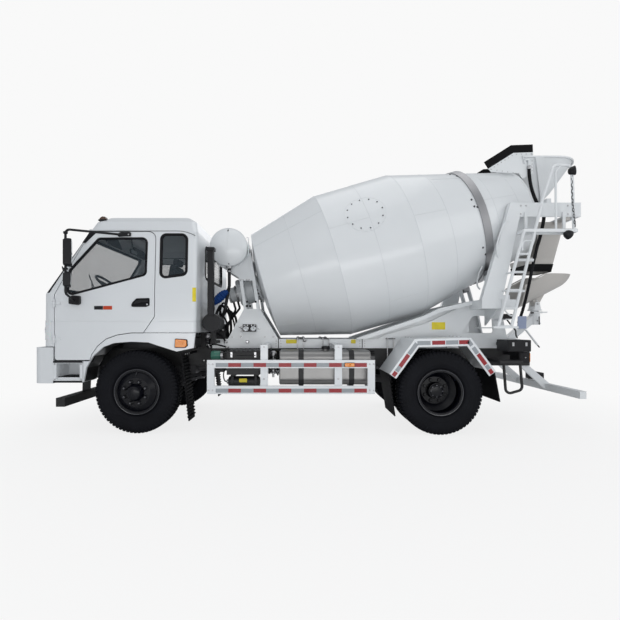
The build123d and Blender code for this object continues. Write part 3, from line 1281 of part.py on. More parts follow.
def chute():
    """The trough: a half-round channel with a ladle end under the outlet, on a lug with the tilt pin's bore."""
    slope = math.radians(CHUTE_SLOPE)
    reach = (CATCH_X - CHUTE_END_X + 200) / math.cos(slope)
    low_end = (CATCH_X - reach * math.cos(slope), 0, CATCH_Z - reach * math.sin(slope))
    catch = (CATCH_X, 0, CATCH_Z)
    skin = rod(low_end, catch, CHUTE_R) + Pos(*catch) * Sphere(CHUTE_R)
    skin -= rod(low_end, catch, CHUTE_R - CHUTE_WALL) + Pos(*catch) * Sphere(CHUTE_R - CHUTE_WALL)
    edge_x = CATCH_X - (CATCH_Z - CHUTE_RIM_Z) / math.tan(slope)
    edge_z = CATCH_Z - (CATCH_X - CHUTE_END_X) * math.tan(slope)
    keep = side_plate([(CATCH_X + 400, CHUTE_RIM_Z), (edge_x, CHUTE_RIM_Z), (CHUTE_END_X, edge_z),
                       (CHUTE_END_X, 1400), (CATCH_X + 400, 1400)], -400, 400)
    trough = skin & keep
    lug = side_plate([(CHUTE_AXIS_X - 28, CHUTE_PIN_Z - 16), (CHUTE_AXIS_X + 28, CHUTE_PIN_Z - 16),
                      (CHUTE_AXIS_X + 150, 1900),
                      (CHUTE_AXIS_X - 120, 1900)], -58, 58)
    lug += rod((CHUTE_AXIS_X, -58, CHUTE_PIN_Z), (CHUTE_AXIS_X, 58, CHUTE_PIN_Z), 32)
    lug -= rod((CHUTE_AXIS_X, -80, CHUTE_PIN_Z), (CHUTE_AXIS_X, 80, CHUTE_PIN_Z), 15 + RUN_GAP)
    lug -= rod(low_end, catch, CHUTE_R - CHUTE_WALL / 2) + Pos(*catch) * Sphere(CHUTE_R - CHUTE_WALL / 2)
    return trough + lug


put("subframe", subframe() + chute_column())
put("chute_yoke", chute_yoke())
put("chute", chute())


# Ladder and platform
LADDER_Y = 1000.0
FLOOR_STEP_Z = 2596.0
LADDER_R = 19.0
PLATFORM_FRONT = 4908.0
PLATFORM_REAR = 5599.0
# x and z of the ladder's front and rear rails at the foot, and of the rear rail at the hand loop
FRONT_RAIL = [(4593, 1350), (4880, 2404), (4925, FLOOR_STEP_Z - 20)]
REAR_RAIL = [(4762, 1350), (5168, 3005), (5298, 3418), (5532, 3406), (5560, FLOOR_STEP_Z)]
RUNGS = (1350.0, 1582.0, 1814.0, 2045.0, 2277.0)
LADDER_LEAN = (REAR_RAIL[1][0] - REAR_RAIL[0][0]) / (REAR_RAIL[1][1] - REAR_RAIL[0][1])


def ladder():
    """The ladder on the driver's side with the platform and hand loop at its head."""
    y = -LADDER_Y
    rails = tube([(x, y, z) for x, z in FRONT_RAIL], LADDER_R, 60)
    rails += tube([(x, y, z) for x, z in REAR_RAIL], LADDER_R, 70)
    for z in RUNGS:
        front = FRONT_RAIL[0][0] + (z - FRONT_RAIL[0][1]) * (FRONT_RAIL[1][0] - FRONT_RAIL[0][0]) / (
            FRONT_RAIL[1][1] - FRONT_RAIL[0][1])
        rear = REAR_RAIL[0][0] + (z - REAR_RAIL[0][1]) * LADDER_LEAN
        rails += rod((front, y, z), (rear, y, z), 14)
    inner = -POST_Y - POST_WIDTH / 2
    floor = box(PLATFORM_FRONT, PLATFORM_REAR, y - LADDER_R, inner - 4, FLOOR_STEP_Z - 40, FLOOR_STEP_Z)
    floor -= box(PLATFORM_FRONT + 8, PLATFORM_REAR - 8, y - LADDER_R + 8, inner - 12, FLOOR_STEP_Z - 50,
                 FLOOR_STEP_Z - 6)
    post = tube([(5330, y, FLOOR_STEP_Z), (5325, y, 3330), (5400, y, 3414)], 14, 50)
    foot = box(4520, 4840, y - LADDER_R - 6, -FRAME_Y, 1325, 1340)
    foot += box(4520, 4840, y - LADDER_R - 6, y + LADDER_R + 6, 1325, 1352)
    hangers = box(5000, 5040, inner - 18, inner, FLOOR_STEP_Z - 40, ARM_LOW + 60)
    hangers += box(5500, 5540, inner - 18, inner, FLOOR_STEP_Z - 40, ARM_LOW + 60)
    stays = rod((4719, y, 1814), (4719, inner, 1814), 12) + rod((4776, y, 2045), (4776, inner, 2045), 12)
    return rails + floor + post + foot + hangers + stays


put("ladder", ladder())


# Side guards, tanks and boxes

def side_guards():
    """A guard on each side: two long bars, two end posts and two middle posts with arms from the subframe."""
    y1 = -GUARD_Y
    y2 = -GUARD_Y + 30
    guard = box(GUARD_FRONT, GUARD_REAR, y1, y2, GUARD_TOP - GUARD_BAR, GUARD_TOP)
    guard += box(GUARD_FRONT, GUARD_REAR, y1, y2, GUARD_LOW, GUARD_LOW + GUARD_BAR)
    for x in (GUARD_FRONT, GUARD_REAR - 90):
        guard += box(x, x + 90, y1, y2, GUARD_LOW, GUARD_TOP)
    for x in (1566, 2486):
        guard += box(x, x + 92, y2, y2 + 30, GUARD_LOW, 1120)
        guard += box(x, x + 92, y2, -FRAME_Y, 1070, 1120)
    return both_sides(guard)


def fuel_tank():
    """The rounded fuel tank with its two straps and filler cap."""
    tank = cross_plate(tank_section(0), TANK_FRONT, TANK_REAR)
    ends = [e for e in tank.edges() if abs(e.center().X - TANK_FRONT) < 0.01 or abs(e.center().X - TANK_REAR) < 0.01]
    tank = fillet(ends, 18)
    filler_x = (TANK_STRAPS[0] + TANK_STRAPS[1]) / 2
    filler_y = -TANK_OUTER + 130
    neck = Pos(filler_x, filler_y, TANK_TOP + 8) * Cylinder(42, 16)
    cap = Pos(filler_x, filler_y, TANK_TOP + 33) * Cylinder(52, 34)
    return tank + neck + fillet(cap.edges().filter_by(GeomType.CIRCLE), 6)


def battery_box():
    """The battery box on its brackets."""
    return box(BATTERY_FRONT, BATTERY_REAR, -TANK_OUTER - 20, -TANK_INNER, BATTERY_LOW, BATTERY_TOP)


def air_tank():
    """The compressed air tank slung under the battery box."""
    y = -930.0
    z = BATTERY_LOW - 30 - 72.5
    tank = rod((BATTERY_FRONT, y, z), (BATTERY_REAR - 10, y, z), 72)
    tank = fillet(tank.edges().filter_by(GeomType.CIRCLE), 30)
    straps = box(BATTERY_FRONT + 45, BATTERY_FRONT + 75, y - 76, y + 76, z - 76, BATTERY_LOW - 30)
    straps += box(BATTERY_REAR - 75, BATTERY_REAR - 45, y - 76, y + 76, z - 76, BATTERY_LOW - 30)
    return tank + straps


put("side_guards", side_guards())
put("fuel_tank", fuel_tank())
put("battery_box", battery_box())
put("air_tank", air_tank())


# Rear fenders, flaps, lamps and guard
REAR_ARCH = ((WHEELBASE - 647.0, 766.0), (WHEELBASE - 337.0, 1194.0), (WHEELBASE + 354.0, 1210.0),
             (WHEELBASE + 658.0, 798.0))
LAMP_X = WHEELBASE + 1085.0
STEP_X = WHEELBASE + 800.0
REAR_FENDER_OUT = 1230.0
REAR_FENDER_IN = 545.0


def rear_fender():
    """The left folded sheet over the twin wheels, with its deep lip and two arms from the subframe."""
    sheet = band(REAR_ARCH[::-1], 8, -REAR_FENDER_OUT, -REAR_FENDER_IN)
    lip = band(REAR_ARCH[::-1], 100, -REAR_FENDER_OUT, -REAR_FENDER_OUT + 8)
    fender = sheet + lip
    for x in (WHEELBASE - 300, WHEELBASE + 300):
        fender += box(x - 20, x + 20, -REAR_FENDER_IN - 200, -FRAME_Y, 1130, 1170)
    return fender + box(WHEELBASE - 320, WHEELBASE + 320, -REAR_FENDER_IN - 60, -REAR_FENDER_IN - 20, 1130,
                        1190)


def mudflaps(arch):
    """Rubber flaps behind the front wheels and on both ends of the rear fenders."""
    front = side_plate([(566, 1015), (578, 1015), (672, 165), (660, 163)], -1120, -830)
    front += box(572, 602, -1120, -FRAME_Y, 985, 1015)
    x, z = REAR_ARCH[0]
    before = side_plate([(x - 8, z), (x + 4, z), (x + 84, 240), (x + 72, 238)], -1190, -600)
    x, z = REAR_ARCH[-1]
    behind = side_plate([(x - 8, z), (x + 4, z), (x + 74, 418), (x + 62, 416)], -1190, -600)
    return both_sides(Compound([front - arch, before - arch, behind - arch]))


def rear_guard():
    """The underrun guard: a box bar on two slanted legs from the rails."""
    bar = box(5520, 5600, -1180, 1180, 452, 545)
    leg = side_plate([(5165, FRAME_LOW), (FRAME_REAR - 5, FRAME_LOW), (5590, 545), (5590, 452), (5520, 470)],
                     FRAME_Y - 60, FRAME_Y - 20)
    return bar + leg + mirror(leg, Plane.XZ)


def rear_lamps():
    """The rear lamp housings on arms from the rails, with a tool box over each."""
    lamp = box(LAMP_X, LAMP_X + 135, -955, -700, 880, 1020) + box(LAMP_X + 40, LAMP_X + 90, -700, -FRAME_Y,
                                                                  960, 1010)
    tools = box(LAMP_X - 185, LAMP_X + 105, -1040, -720, 1030, 1178)
    tools = fillet(tools.edges().filter_by(Axis.Y), 12)
    tools += box(LAMP_X - 60, LAMP_X - 20, -720, -FRAME_Y, 1090, 1130)
    return both_sides(lamp + tools + box(LAMP_X + 50, LAMP_X + 80, -900, -860, 1015, 1035))


def rear_step():
    """The hoop step under the ladder, on its bar from the left rail."""
    y = -LADDER_Y
    x = STEP_X
    hoop = tube([(x + 60, y, 880), (x + 90, y, 480), (x + 300, y, 540), (x + 270, y, 880)], 17, 60)
    bar = rod((x, y, 890), (x + 295, y, 890), 36)
    arms = box(x + 62, x + 102, y, -FRAME_Y, 870, 910) + box(x + 220, x + 260, y, -FRAME_Y, 860, 880)
    return hoop + bar + arms


arch = rear_fender()
put("rear_fenders", both_sides(arch))
put("mudflaps", mudflaps(arch))
put("rear_guard", rear_guard())
put("rear_lamps", rear_lamps())
put("rear_step", rear_step())


def air_intake():
    """The engine's intake behind the cab: a tall duct with its hood, and the filter on a bracket."""
    duct = box(862, 932, -950, -850, 1500, 2330)
    hood = box(850, 946, -962, -838, 2330, 2374)
    can = rod((900, -900, 1400), (900, -600, 1400), 120)
    bracket = box(870, 930, -800, -FRAME_Y, 1120, 1160) + box(870, 930, -760, -720, 1160, 1300)
    return duct + hood + can + bracket


PUMP_X = (860.0, 1000.0)
PUMP_TOP = SUBFRAME_TOP + 110.0
HOSE_R = 22.0


def pump_and_hoses():
    """The pump block on the subframe, the hose down from the water tank and the two hoses to the drum's motor."""
    middle = (PUMP_X[0] + PUMP_X[1]) / 2
    block = box(PUMP_X[0], PUMP_X[1], -FRAME_Y, -FRAME_Y + SUBFRAME_WIDTH, SUBFRAME_TOP + RUN_GAP, PUMP_TOP)
    block = fillet(block.edges().filter_by(Axis.Z), 12)
    tank_end = WATER_Z - WATER_R - 30 - RUN_GAP
    water_hose = tube([(WATER_X, HOSE_Y, tank_end), (WATER_X, HOSE_Y, tank_end - 240),
                       (WATER_X - 55, HOSE_Y - 15, 1600),
                       (middle + 20, HOSE_Y + 40, 1430), (middle, -FRAME_Y + 40, PUMP_TOP - 5)], HOSE_R, 60)
    part = block + water_hose
    for k, s in enumerate((-545.0, -480.0)):
        start = drum_point(s, -110 - RUN_GAP)
        below = drum_point(s, -220)
        side = -30.0 - 12 * k
        route = [start, below, (middle + 90, side - 30, 1450), (middle - 10 + 60 * k, -240, 1300),
                 (middle - 30 + 60 * k, -FRAME_Y + SUBFRAME_WIDTH + 4, 1240)]
        hose = tube(route, 16, 40)
        part += hose
    return part


put("air_intake", Compound([air_intake(), pump_and_hoses()]))
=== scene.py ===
import bmesh
import bpy
import math
from mathutils import Matrix, Vector
from mathutils.bvhtree import BVHTree


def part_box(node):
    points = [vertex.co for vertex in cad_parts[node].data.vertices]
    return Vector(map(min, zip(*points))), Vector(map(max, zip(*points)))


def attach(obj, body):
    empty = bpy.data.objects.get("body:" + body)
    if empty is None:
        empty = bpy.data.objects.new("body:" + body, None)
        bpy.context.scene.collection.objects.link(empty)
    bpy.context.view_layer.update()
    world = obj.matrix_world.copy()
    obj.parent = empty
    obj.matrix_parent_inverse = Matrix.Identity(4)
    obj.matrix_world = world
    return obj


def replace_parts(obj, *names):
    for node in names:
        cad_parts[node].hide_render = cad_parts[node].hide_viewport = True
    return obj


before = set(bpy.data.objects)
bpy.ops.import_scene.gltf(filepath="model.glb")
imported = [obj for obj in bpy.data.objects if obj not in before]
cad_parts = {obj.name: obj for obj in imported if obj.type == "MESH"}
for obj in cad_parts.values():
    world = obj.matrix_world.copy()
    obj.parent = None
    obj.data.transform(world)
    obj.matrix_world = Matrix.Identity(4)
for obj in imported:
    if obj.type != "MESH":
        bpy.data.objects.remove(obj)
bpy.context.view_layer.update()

# Places are given as in the truck's drawing: millimetres, X back from the front axle, the driver's side at -Y
tyre_low, tyre_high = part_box("tyre_front_left")
AXLE_X = (tyre_low[0] + tyre_high[0]) / 2
MM = 0.001

UP, DOWN = (0, 0, 1), (0, 0, -1)
LEFT, RIGHT = (0, -1, 0), (0, 1, 0)
FORWARD, BACK = (-1, 0, 0), (1, 0, 0)

# Y of the outer faces of the frame rails, side guards and rear posts
RAIL_SIDE = 430
GUARD_SIDE = 1200
POST_SIDE = 845


def at(x, y, z):
    """A point of the drawing as a point of the frame, in metres."""
    return Vector((AXLE_X + x * MM, y * MM, z * MM))


# Camera, as the photograph was taken: level, square to the truck's side
CAMERA_PLACE = (2056, -6500, 1330)
SENSOR = 36.0
FOCAL_SHARE = 430 / 620
AXIS_RIGHT_OF_MIDDLE = -10 / 620
AXIS_BELOW_MIDDLE = 18 / 620


def make_camera():
    data = bpy.data.cameras.new("camera")
    data.sensor_width = SENSOR
    data.lens = SENSOR * FOCAL_SHARE
    data.shift_x = -AXIS_RIGHT_OF_MIDDLE
    data.shift_y = AXIS_BELOW_MIDDLE
    camera = bpy.data.objects.new("camera", data)
    camera.location = at(*CAMERA_PLACE)
    camera.rotation_euler = (math.radians(90), 0, 0)
    bpy.context.scene.collection.objects.link(camera)
    bpy.context.scene.camera = camera


make_camera()
bpy.context.scene.view_settings.view_transform = "Standard"


# Material helpers

def add(mat, kind, **inputs):
    """Adds one shader node; inputs named with _ are sockets, and others are the node's own settings."""
    node = mat.node_tree.nodes.new("ShaderNode" + kind)
    for key, value in inputs.items():
        if key.startswith("_"):
            node.inputs[key[1:].replace("_", " ")].default_value = value
        else:
            setattr(node, key, value)
    return node


def join(mat, source, target):
    mat.node_tree.links.new(source, target)


def main_of(mat):
    return mat.node_tree.nodes["Principled BSDF"]


def shader(name, colour, roughness, metallic=0.0, **sockets):
    """A Principled material; sockets sets more of its inputs by name."""
    mat = bpy.data.materials.new(name)
    mat.use_nodes = True
    main = main_of(mat)
    main.inputs["Base Color"].default_value = (*colour, 1)
    main.inputs["Roughness"].default_value = roughness
    main.inputs["Metallic"].default_value = metallic
    for key, value in sockets.items():
        main.inputs[key.replace("_", " ")].default_value = value
    return mat


def coordinates(mat, stretch=(1, 1, 1)):
    """Object coordinates in metres, stretched along the axes."""
    place = add(mat, "TexCoord")
    mapping = add(mat, "Mapping", _Scale=stretch)
    join(mat, place.outputs["Object"], mapping.inputs["Vector"])
    return mapping.outputs["Vector"]


def noise(mat, scale, detail=3.0, stretch=(1, 1, 1)):
    texture = add(mat, "TexNoise", _Scale=scale, _Detail=detail)
    join(mat, coordinates(mat, stretch), texture.inputs["Vector"])
    return texture.outputs["Fac"]


def ramp(mat, fac, stops):
    """A colour ramp; stops are (place, colour)."""
    node = add(mat, "ValToRGB")
    elements = node.color_ramp.elements
    while len(elements) < len(stops):
        elements.new(0.5)
    for element, (place, colour) in zip(elements, stops):
        element.position = place
        element.color = (*colour, 1)
    join(mat, fac, node.inputs["Fac"])
    return node.outputs["Color"]


def shade(colour, amount):
    return tuple(max(0.0, c * amount) for c in colour)


def mottle(mat, colour, scale, spread):
    """Lets the base colour wander a little darker and lighter."""
    dark = shade(colour, 1 - spread)
    light = shade(colour, 1 + spread * 0.6)
    join(mat, ramp(mat, noise(mat, scale, 4.0), [(0.3, dark), (0.7, light)]),
         main_of(mat).inputs["Base Color"])


def uneven(mat, fac, low, high):
    """Lets the roughness run from low to high with the socket fac."""
    spread = add(mat, "MapRange", _To_Min=low, _To_Max=high)
    join(mat, fac, spread.inputs["Value"])
    join(mat, spread.outputs["Result"], main_of(mat).inputs["Roughness"])


def bump(mat, height, strength, distance, under=None):
    """Adds a bump; under is the normal that it stands on."""
    node = add(mat, "Bump", _Strength=strength, _Distance=distance)
    join(mat, height, node.inputs["Height"])
    if under is not None:
        join(mat, under, node.inputs["Normal"])
    join(mat, node.outputs["Normal"], main_of(mat).inputs["Normal"])
    return node.outputs["Normal"]


def soft_edges(mat, radius):
    """Rounds the look of sharp edges."""
    node = add(mat, "Bevel", samples=4, _Radius=radius)
    join(mat, node.outputs["Normal"], main_of(mat).inputs["Normal"])
    return node.outputs["Normal"]


def height_of(mat, axis):
    """The object's own coordinate along one axis, in metres."""
    place = add(mat, "TexCoord")
    split = add(mat, "SeparateXYZ")
    join(mat, place.outputs["Object"], split.inputs["Vector"])
    return split.outputs[axis]


def math_node(mat, operation, a, b):
    """a and b are sockets or numbers."""
    node = add(mat, "Math", operation=operation)
    for slot, value in zip(node.inputs, (a, b)):
        if isinstance(value, (int, float)):
            slot.default_value = value
        else:
            join(mat, value, slot)
    return node.outputs[0]


# Materials

WHITE = (0.74, 0.765, 0.785)
ARCH_BLACK = (0.012, 0.012, 0.013)
ARCH_LINING = 1.112  # metres from the middle to the edge of the wheel arches' black lining
BELT_LOW, BELT_HIGH = 1.40, 1.425  # metres from the ground to the foot and head of the crease along the cab


def paint(name, colour, roughness=0.32, wave=0.0, dust=0.0, coat=0.35):
    """Sprayed gloss paint with a fine orange peel; wave adds the slow dents of rolled sheet."""
    mat = shader(name, colour, roughness, Coat_Weight=coat, Coat_Roughness=0.08)
    mottle(mat, colour, 1.7, 0.012 + dust)
    uneven(mat, noise(mat, 3.0, 5.0), roughness - 0.02, roughness + 0.05)
    normal = soft_edges(mat, 0.004)
    if wave:
        normal = bump(mat, noise(mat, 2.2, 2.0), wave, 0.02, normal)
    bump(mat, noise(mat, 260.0, 2.0), 0.05, 0.002, normal)
    return mat


def cab_paint():
    """White paint with the pressed crease along the cab's belt."""
    mat = paint("cab_white", WHITE, 0.28)
    crease = add(mat, "MapRange", interpolation_type="SMOOTHSTEP", _From_Min=BELT_LOW, _From_Max=BELT_HIGH)
    join(mat, height_of(mat, "Z"), crease.inputs["Value"])
    under = main_of(mat).inputs["Normal"].links[0].from_socket
    bump(mat, crease.outputs["Result"], 0.6, 0.01, under)
    return mat


def rubber(name, colour, scale=120.0):
    mat = shader(name, colour, 0.66, Specular_IOR_Level=0.16)
    mottle(mat, colour, 6.0, 0.25)
    bump(mat, noise(mat, scale, 5.0), 0.18, 0.002)
    return mat


def plastic(name, colour, roughness=0.45, grain=0.2):
    mat = shader(name, colour, roughness, Specular_IOR_Level=0.3)
    mottle(mat, colour, 12.0, 0.08)
    bump(mat, noise(mat, 500.0, 2.0), grain, 0.0008, soft_edges(mat, 0.003))
    return mat


def metal(name, colour, roughness, stretch=(1, 1, 1)):
    """Bare metal, brushed along the axis that stretch makes short."""
    mat = shader(name, colour, roughness, 1.0)
    mottle(mat, colour, 5.0, 0.06)
    lines = noise(mat, 40.0, 6.0, stretch)
    uneven(mat, lines, roughness - 0.08, roughness + 0.14)
    bump(mat, lines, 0.06, 0.001, soft_edges(mat, 0.003))
    return mat


def reflector(name, colour):
    """Reflective tape with its fine diamond grid."""
    mat = shader(name, colour, 0.3)
    mottle(mat, colour, 20.0, 0.05)
    grid = add(mat, "TexVoronoi", _Scale=160.0, distance="MANHATTAN")
    join(mat, coordinates(mat), grid.inputs["Vector"])
    bump(mat, grid.outputs["Distance"], 0.25, 0.0015)
    return mat


def pane(name, colour, alpha):
    """Tinted window glass."""
    return shader(name, colour, 0.02, IOR=1.45, Alpha=alpha)


def lens(name, colour):
    """A ribbed plastic lamp lens."""
    mat = shader(name, colour, 0.12, Coat_Weight=0.5, Subsurface_Weight=0.15)
    ribs = add(mat, "TexWave", _Scale=22.0, bands_direction="Z")
    join(mat, coordinates(mat), ribs.inputs["Vector"])
    bump(mat, ribs.outputs["Fac"], 0.3, 0.002)
    return mat


def fender_paint():
    """The cab's white outside, and the black lining inside the wheel arches."""
    mat = paint("fender_white", WHITE, 0.28)
    main = main_of(mat)
    white = main.inputs["Base Color"].links[0].from_socket
    inside = math_node(mat, "LESS_THAN", math_node(mat, "ABSOLUTE", height_of(mat, "Y"), 0), ARCH_LINING)
    mix = add(mat, "Mix", data_type="RGBA")
    join(mat, inside, mix.inputs["Factor"])
    join(mat, white, mix.inputs[6])
    mix.inputs[7].default_value = (*ARCH_BLACK, 1)
    join(mat, mix.outputs[2], main.inputs["Base Color"])
    return mat


cab_white = cab_paint()
fender_white = fender_paint()
body_white = paint("body_white", WHITE, 0.34)
drum_white = paint("drum_white", (0.76, 0.785, 0.80), 0.33, wave=0.10)
frame_white = paint("frame_white", (0.75, 0.775, 0.79), 0.38, dust=0.02)
chassis_black = paint("chassis_black", (0.011, 0.011, 0.012), 0.5, coat=0.0)
rim_black = paint("rim_black", (0.0012, 0.0015, 0.004), 0.25, coat=0.0)
main_of(rim_black).inputs["Specular IOR Level"].default_value = 0.3
cast_grey = paint("cast_grey", (0.045, 0.045, 0.05), 0.55)
tyre_rubber = rubber("tyre_rubber", (0.0045, 0.005, 0.0075))
flap_rubber = rubber("flap_rubber", (0.003, 0.003, 0.004), 60.0)
black_plastic = plastic("black_plastic", (0.009, 0.009, 0.011))
grey_plastic = plastic("grey_plastic", (0.09, 0.09, 0.095), 0.55)
tank_metal = metal("tank_metal", (0.30, 0.295, 0.29), 0.38, (0.15, 6, 6))
worn_steel = metal("worn_steel", (0.40, 0.40, 0.41), 0.38)
bolt_steel = metal("bolt_steel", (0.55, 0.55, 0.56), 0.30)
chrome = metal("chrome", (0.80, 0.81, 0.82), 0.08)
cab_glass = pane("cab_glass", (0.05, 0.07, 0.085), 0.25)
clear_lens = lens("clear_lens", (0.75, 0.78, 0.80))
red_lens = lens("red_lens", (0.45, 0.01, 0.01))
amber_lens = lens("amber_lens", (0.85, 0.25, 0.01))
seal_black = rubber("seal_black", (0.010, 0.010, 0.012), 200.0)
lock_ring = paint("lock_ring", (0.02, 0.021, 0.026), 0.14)
badge_orange = plastic("badge_orange", (0.55, 0.06, 0.02), 0.3, 0.05)
label_yellow = plastic("label_yellow", (0.80, 0.66, 0.04), 0.4, 0.03)
mirror_glass = metal("mirror_glass", (0.75, 0.78, 0.80), 0.04)
marker_lens = lens("marker_lens", (0.10, 0.05, 0.03))
plate_blank = paint("plate_blank", (0.60, 0.61, 0.62), 0.35)
step_rubber = rubber("step_rubber", (0.022, 0.022, 0.024), 90.0)
tape_silver = reflector("tape_silver", (0.30, 0.325, 0.35))
tape_red = reflector("tape_red", (0.30, 0.008, 0.014))
canister_green = paint("canister_green", (0.02, 0.13, 0.09), 0.4)
silver_cast = metal("silver_cast", (0.45, 0.45, 0.46), 0.38)
hose_black = rubber("hose_black", (0.010, 0.010, 0.012), 160.0)
hose_pale = plastic("hose_pale", (0.62, 0.64, 0.66), 0.5)
sleeve_blue = rubber("sleeve_blue", (0.008, 0.045, 0.19), 40.0)
rope_tan = rubber("rope_tan", (0.35, 0.32, 0.22), 300.0)
dial_white = plastic("dial_white", (0.72, 0.75, 0.78), 0.3, 0.02)
# Flat near-black for holes and gaps: painted shade standing in for their depth
painted_hole_shade = plastic("painted_hole_shade", (0.006, 0.006, 0.007), 0.7)
bolt_dark = metal("bolt_dark", (0.12, 0.12, 0.13), 0.4)
weld_white = paint("weld_white", (0.70, 0.725, 0.745), 0.4)
chain_black = metal("chain_black", (0.06, 0.06, 0.065), 0.35)
panel_blue = paint("panel_blue", (0.28, 0.33, 0.47), 0.4)
tread_grey = paint("tread_grey", (0.40, 0.41, 0.42), 0.5)
chute_grey = paint("chute_grey", (0.50, 0.48, 0.455), 0.5, dust=0.05)
seat_cloth = rubber("seat_cloth", (0.07, 0.075, 0.085), 300.0)
floor_mat = rubber("floor_mat", (0.05, 0.05, 0.052), 80.0)

NODE_LOOKS = {
    cab_white: ("cab_shell", "door_left", "door_right"),
    fender_white: ("front_fenders",),
    body_white: ("bumper", "step_boxes", "side_guards", "rear_fenders"),
    drum_white: ("drum_front", "drum_barrel", "drum_rear", "water_tank"),
    frame_white: ("subframe", "front_pedestal", "rear_pedestal", "rear_posts", "charge_hopper", "chute_yoke",
                  "ladder", "rear_guard", "drum_gearbox"),
    chute_grey: ("chute", "outlet_funnel"),
    chassis_black: ("frame_rails", "front_beam", "air_tank", "rear_step", "battery_box"),
    cast_grey: ("front_axle", "rear_axle", "knuckle_left", "knuckle_right", "leaf_springs", "engine",
                "propshaft"),
    rim_black: ("wheel_front_left", "wheel_front_right", "wheel_rear_left", "wheel_rear_right"),
    tyre_rubber: ("tyre_front_left", "tyre_front_right", "tyres_rear_left", "tyres_rear_right"),
    flap_rubber: ("mudflaps", "hopper_apron"),
    black_plastic: ("mirrors_left", "mirrors_right", "air_intake", "rear_lamps"),
    grey_plastic: ("dashboard",),
    tank_metal: ("fuel_tank",),
    worn_steel: ("drum_ring", "drum_roller_left", "drum_roller_right"),
    cab_glass: ("cab_glass", "door_glass_left", "door_glass_right"),
    clear_lens: ("headlamps",),
    seat_cloth: ("seats",),
    floor_mat: ("cab_floor",),
}
for look, names in NODE_LOOKS.items():
    for name in names:
        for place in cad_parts[name].material_slots:
            place.material = look


# Making of the scene's own pieces, in the drawing's millimetres

def angles(count, start=0.0):
    """Angles that share out a full circle, the first of them start steps on."""
    return [2 * math.pi * (n + start) / count for n in range(count)]


def turned_rings(profile, centre, way, sides):
    """The circles of a turned shape, one for each (distance along way, radius) of its profile."""
    way = Vector(way).normalized()
    side = way.orthogonal().normalized()
    across = way.cross(side)
    outs = [side * math.cos(t) + across * math.sin(t) for t in angles(sides)]
    return [[tuple(Vector(centre) + way * a + out * r) for out in outs] for a, r in profile]


class Form:
    """One piece in the making: a mesh with its looks, which rides on a body when it is done."""

    def __init__(self, name, body, *looks):
        self.name = name
        self.body = body
        self.looks = looks
        self.mesh = bmesh.new()

    def skin(self, rings, look=0, closed=False):
        """Joins rings of points, each of the same number, into a skin; closed joins the last to the first."""
        loops = [[self.mesh.verts.new(at(*p)) for p in ring] for ring in rings]
        pairs = list(zip(loops, loops[1:]))
        if closed:
            pairs.append((loops[-1], loops[0]))
        count = len(loops[0])
        for a, b in pairs:
            for k in range(count):
                n = (k + 1) % count
                self.mesh.faces.new((a[k], a[n], b[n], b[k])).material_index = look
        if not closed:
            self.mesh.faces.new(loops[0][::-1]).material_index = look
            self.mesh.faces.new(loops[-1]).material_index = look

    def slab(self, low, high, look=0):
        """A block between two corners."""
        (x0, y0, z0), (x1, y1, z1) = low, high
        self.skin([[(x0, y0, z), (x1, y0, z), (x1, y1, z), (x0, y1, z)] for z in (z0, z1)], look)

    def prism(self, outline, axis, start, end, look=0):
        """An outline in the two other axes made solid along axis x, y or z."""
        cut = "xyz".index(axis)
        self.skin([[(*p[:cut], c, *p[cut:]) for p in outline] for c in (start, end)], look)

    def tube(self, path, radius, look=0, sides=10, closed=False):
        """A round bar or hose along a path."""
        points = [Vector(p) for p in path]
        count = len(points)
        rings = []
        side = None
        for k, point in enumerate(points):
            if closed:
                way = points[(k + 1) % count] - points[k - 1]
            else:
                way = points[min(k + 1, count - 1)] - points[max(k - 1, 0)]
            way.normalize()
            if side is None:
                side = way.orthogonal()
            side = (side - way * side.dot(way)).normalized()
            across = way.cross(side)
            reach = radius[k] if isinstance(radius, (list, tuple)) else radius
            outs = [side * math.cos(t) + across * math.sin(t) for t in angles(sides)]
            rings.append([tuple(point + out * reach) for out in outs])
        self.skin(rings, look, closed=closed)

    def hose(self, points, radius, look=0, sides=10, steps=6):
        """A tube along a smooth line through the points."""
        self.tube(curve_through(points, steps), radius, look, sides)

    def turn(self, profile, centre, way, look=0, sides=32):
        """A turned shape; profile is (distance along way, radius) and closes on itself."""
        self.skin(list(zip(*turned_rings(profile, centre, way, sides))), look, closed=True)

    def cap(self, profile, centre, way, look=0, sides=24):
        """A turned shape with closed ends; profile is (distance along way, radius) from end to end."""
        self.skin(turned_rings(profile, centre, way, sides), look)

    def bolt(self, centre, way, size, look=0):
        """A hexagon head on its washer; size is half the head's width."""
        self.cap([(-size * 0.3, size * 1.35), (size * 0.22, size * 1.35), (size * 0.25, size * 1.25)], centre,
                 way, look, 12)
        self.cap([(0, size * 1.15), (size * 0.85, size * 1.15), (size, size * 0.95)], centre, way, look, 6)

    def turned(self, first, centre, angle):
        """Turns the vertices from number first on about the upright line through centre, by degrees."""
        bmesh.ops.rotate(self.mesh, verts=list(self.mesh.verts)[first:], cent=at(centre[0], centre[1], 0),
                         matrix=Matrix.Rotation(math.radians(angle), 3, "Z"))

    def done(self, bevel=0.0, sharp=38):
        """Makes the object, softens its edges and lets it ride on its body."""
        bmesh.ops.recalc_face_normals(self.mesh, faces=self.mesh.faces)
        data = bpy.data.meshes.new(self.name)
        self.mesh.to_mesh(data)
        self.mesh.free()
        data.shade_smooth()
        data.set_sharp_from_angle(angle=math.radians(sharp))
        for look in self.looks:
            data.materials.append(look)
        piece = bpy.data.objects.new(self.name, data)
        bpy.context.scene.collection.objects.link(piece)
        if bevel:
            edge = piece.modifiers.new("edge", "BEVEL")
            edge.width = bevel * MM
            edge.segments = 2
            edge.limit_method = "ANGLE"
            edge.angle_limit = math.radians(40)
            edge.harden_normals = True
        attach(piece, self.body)
        return piece


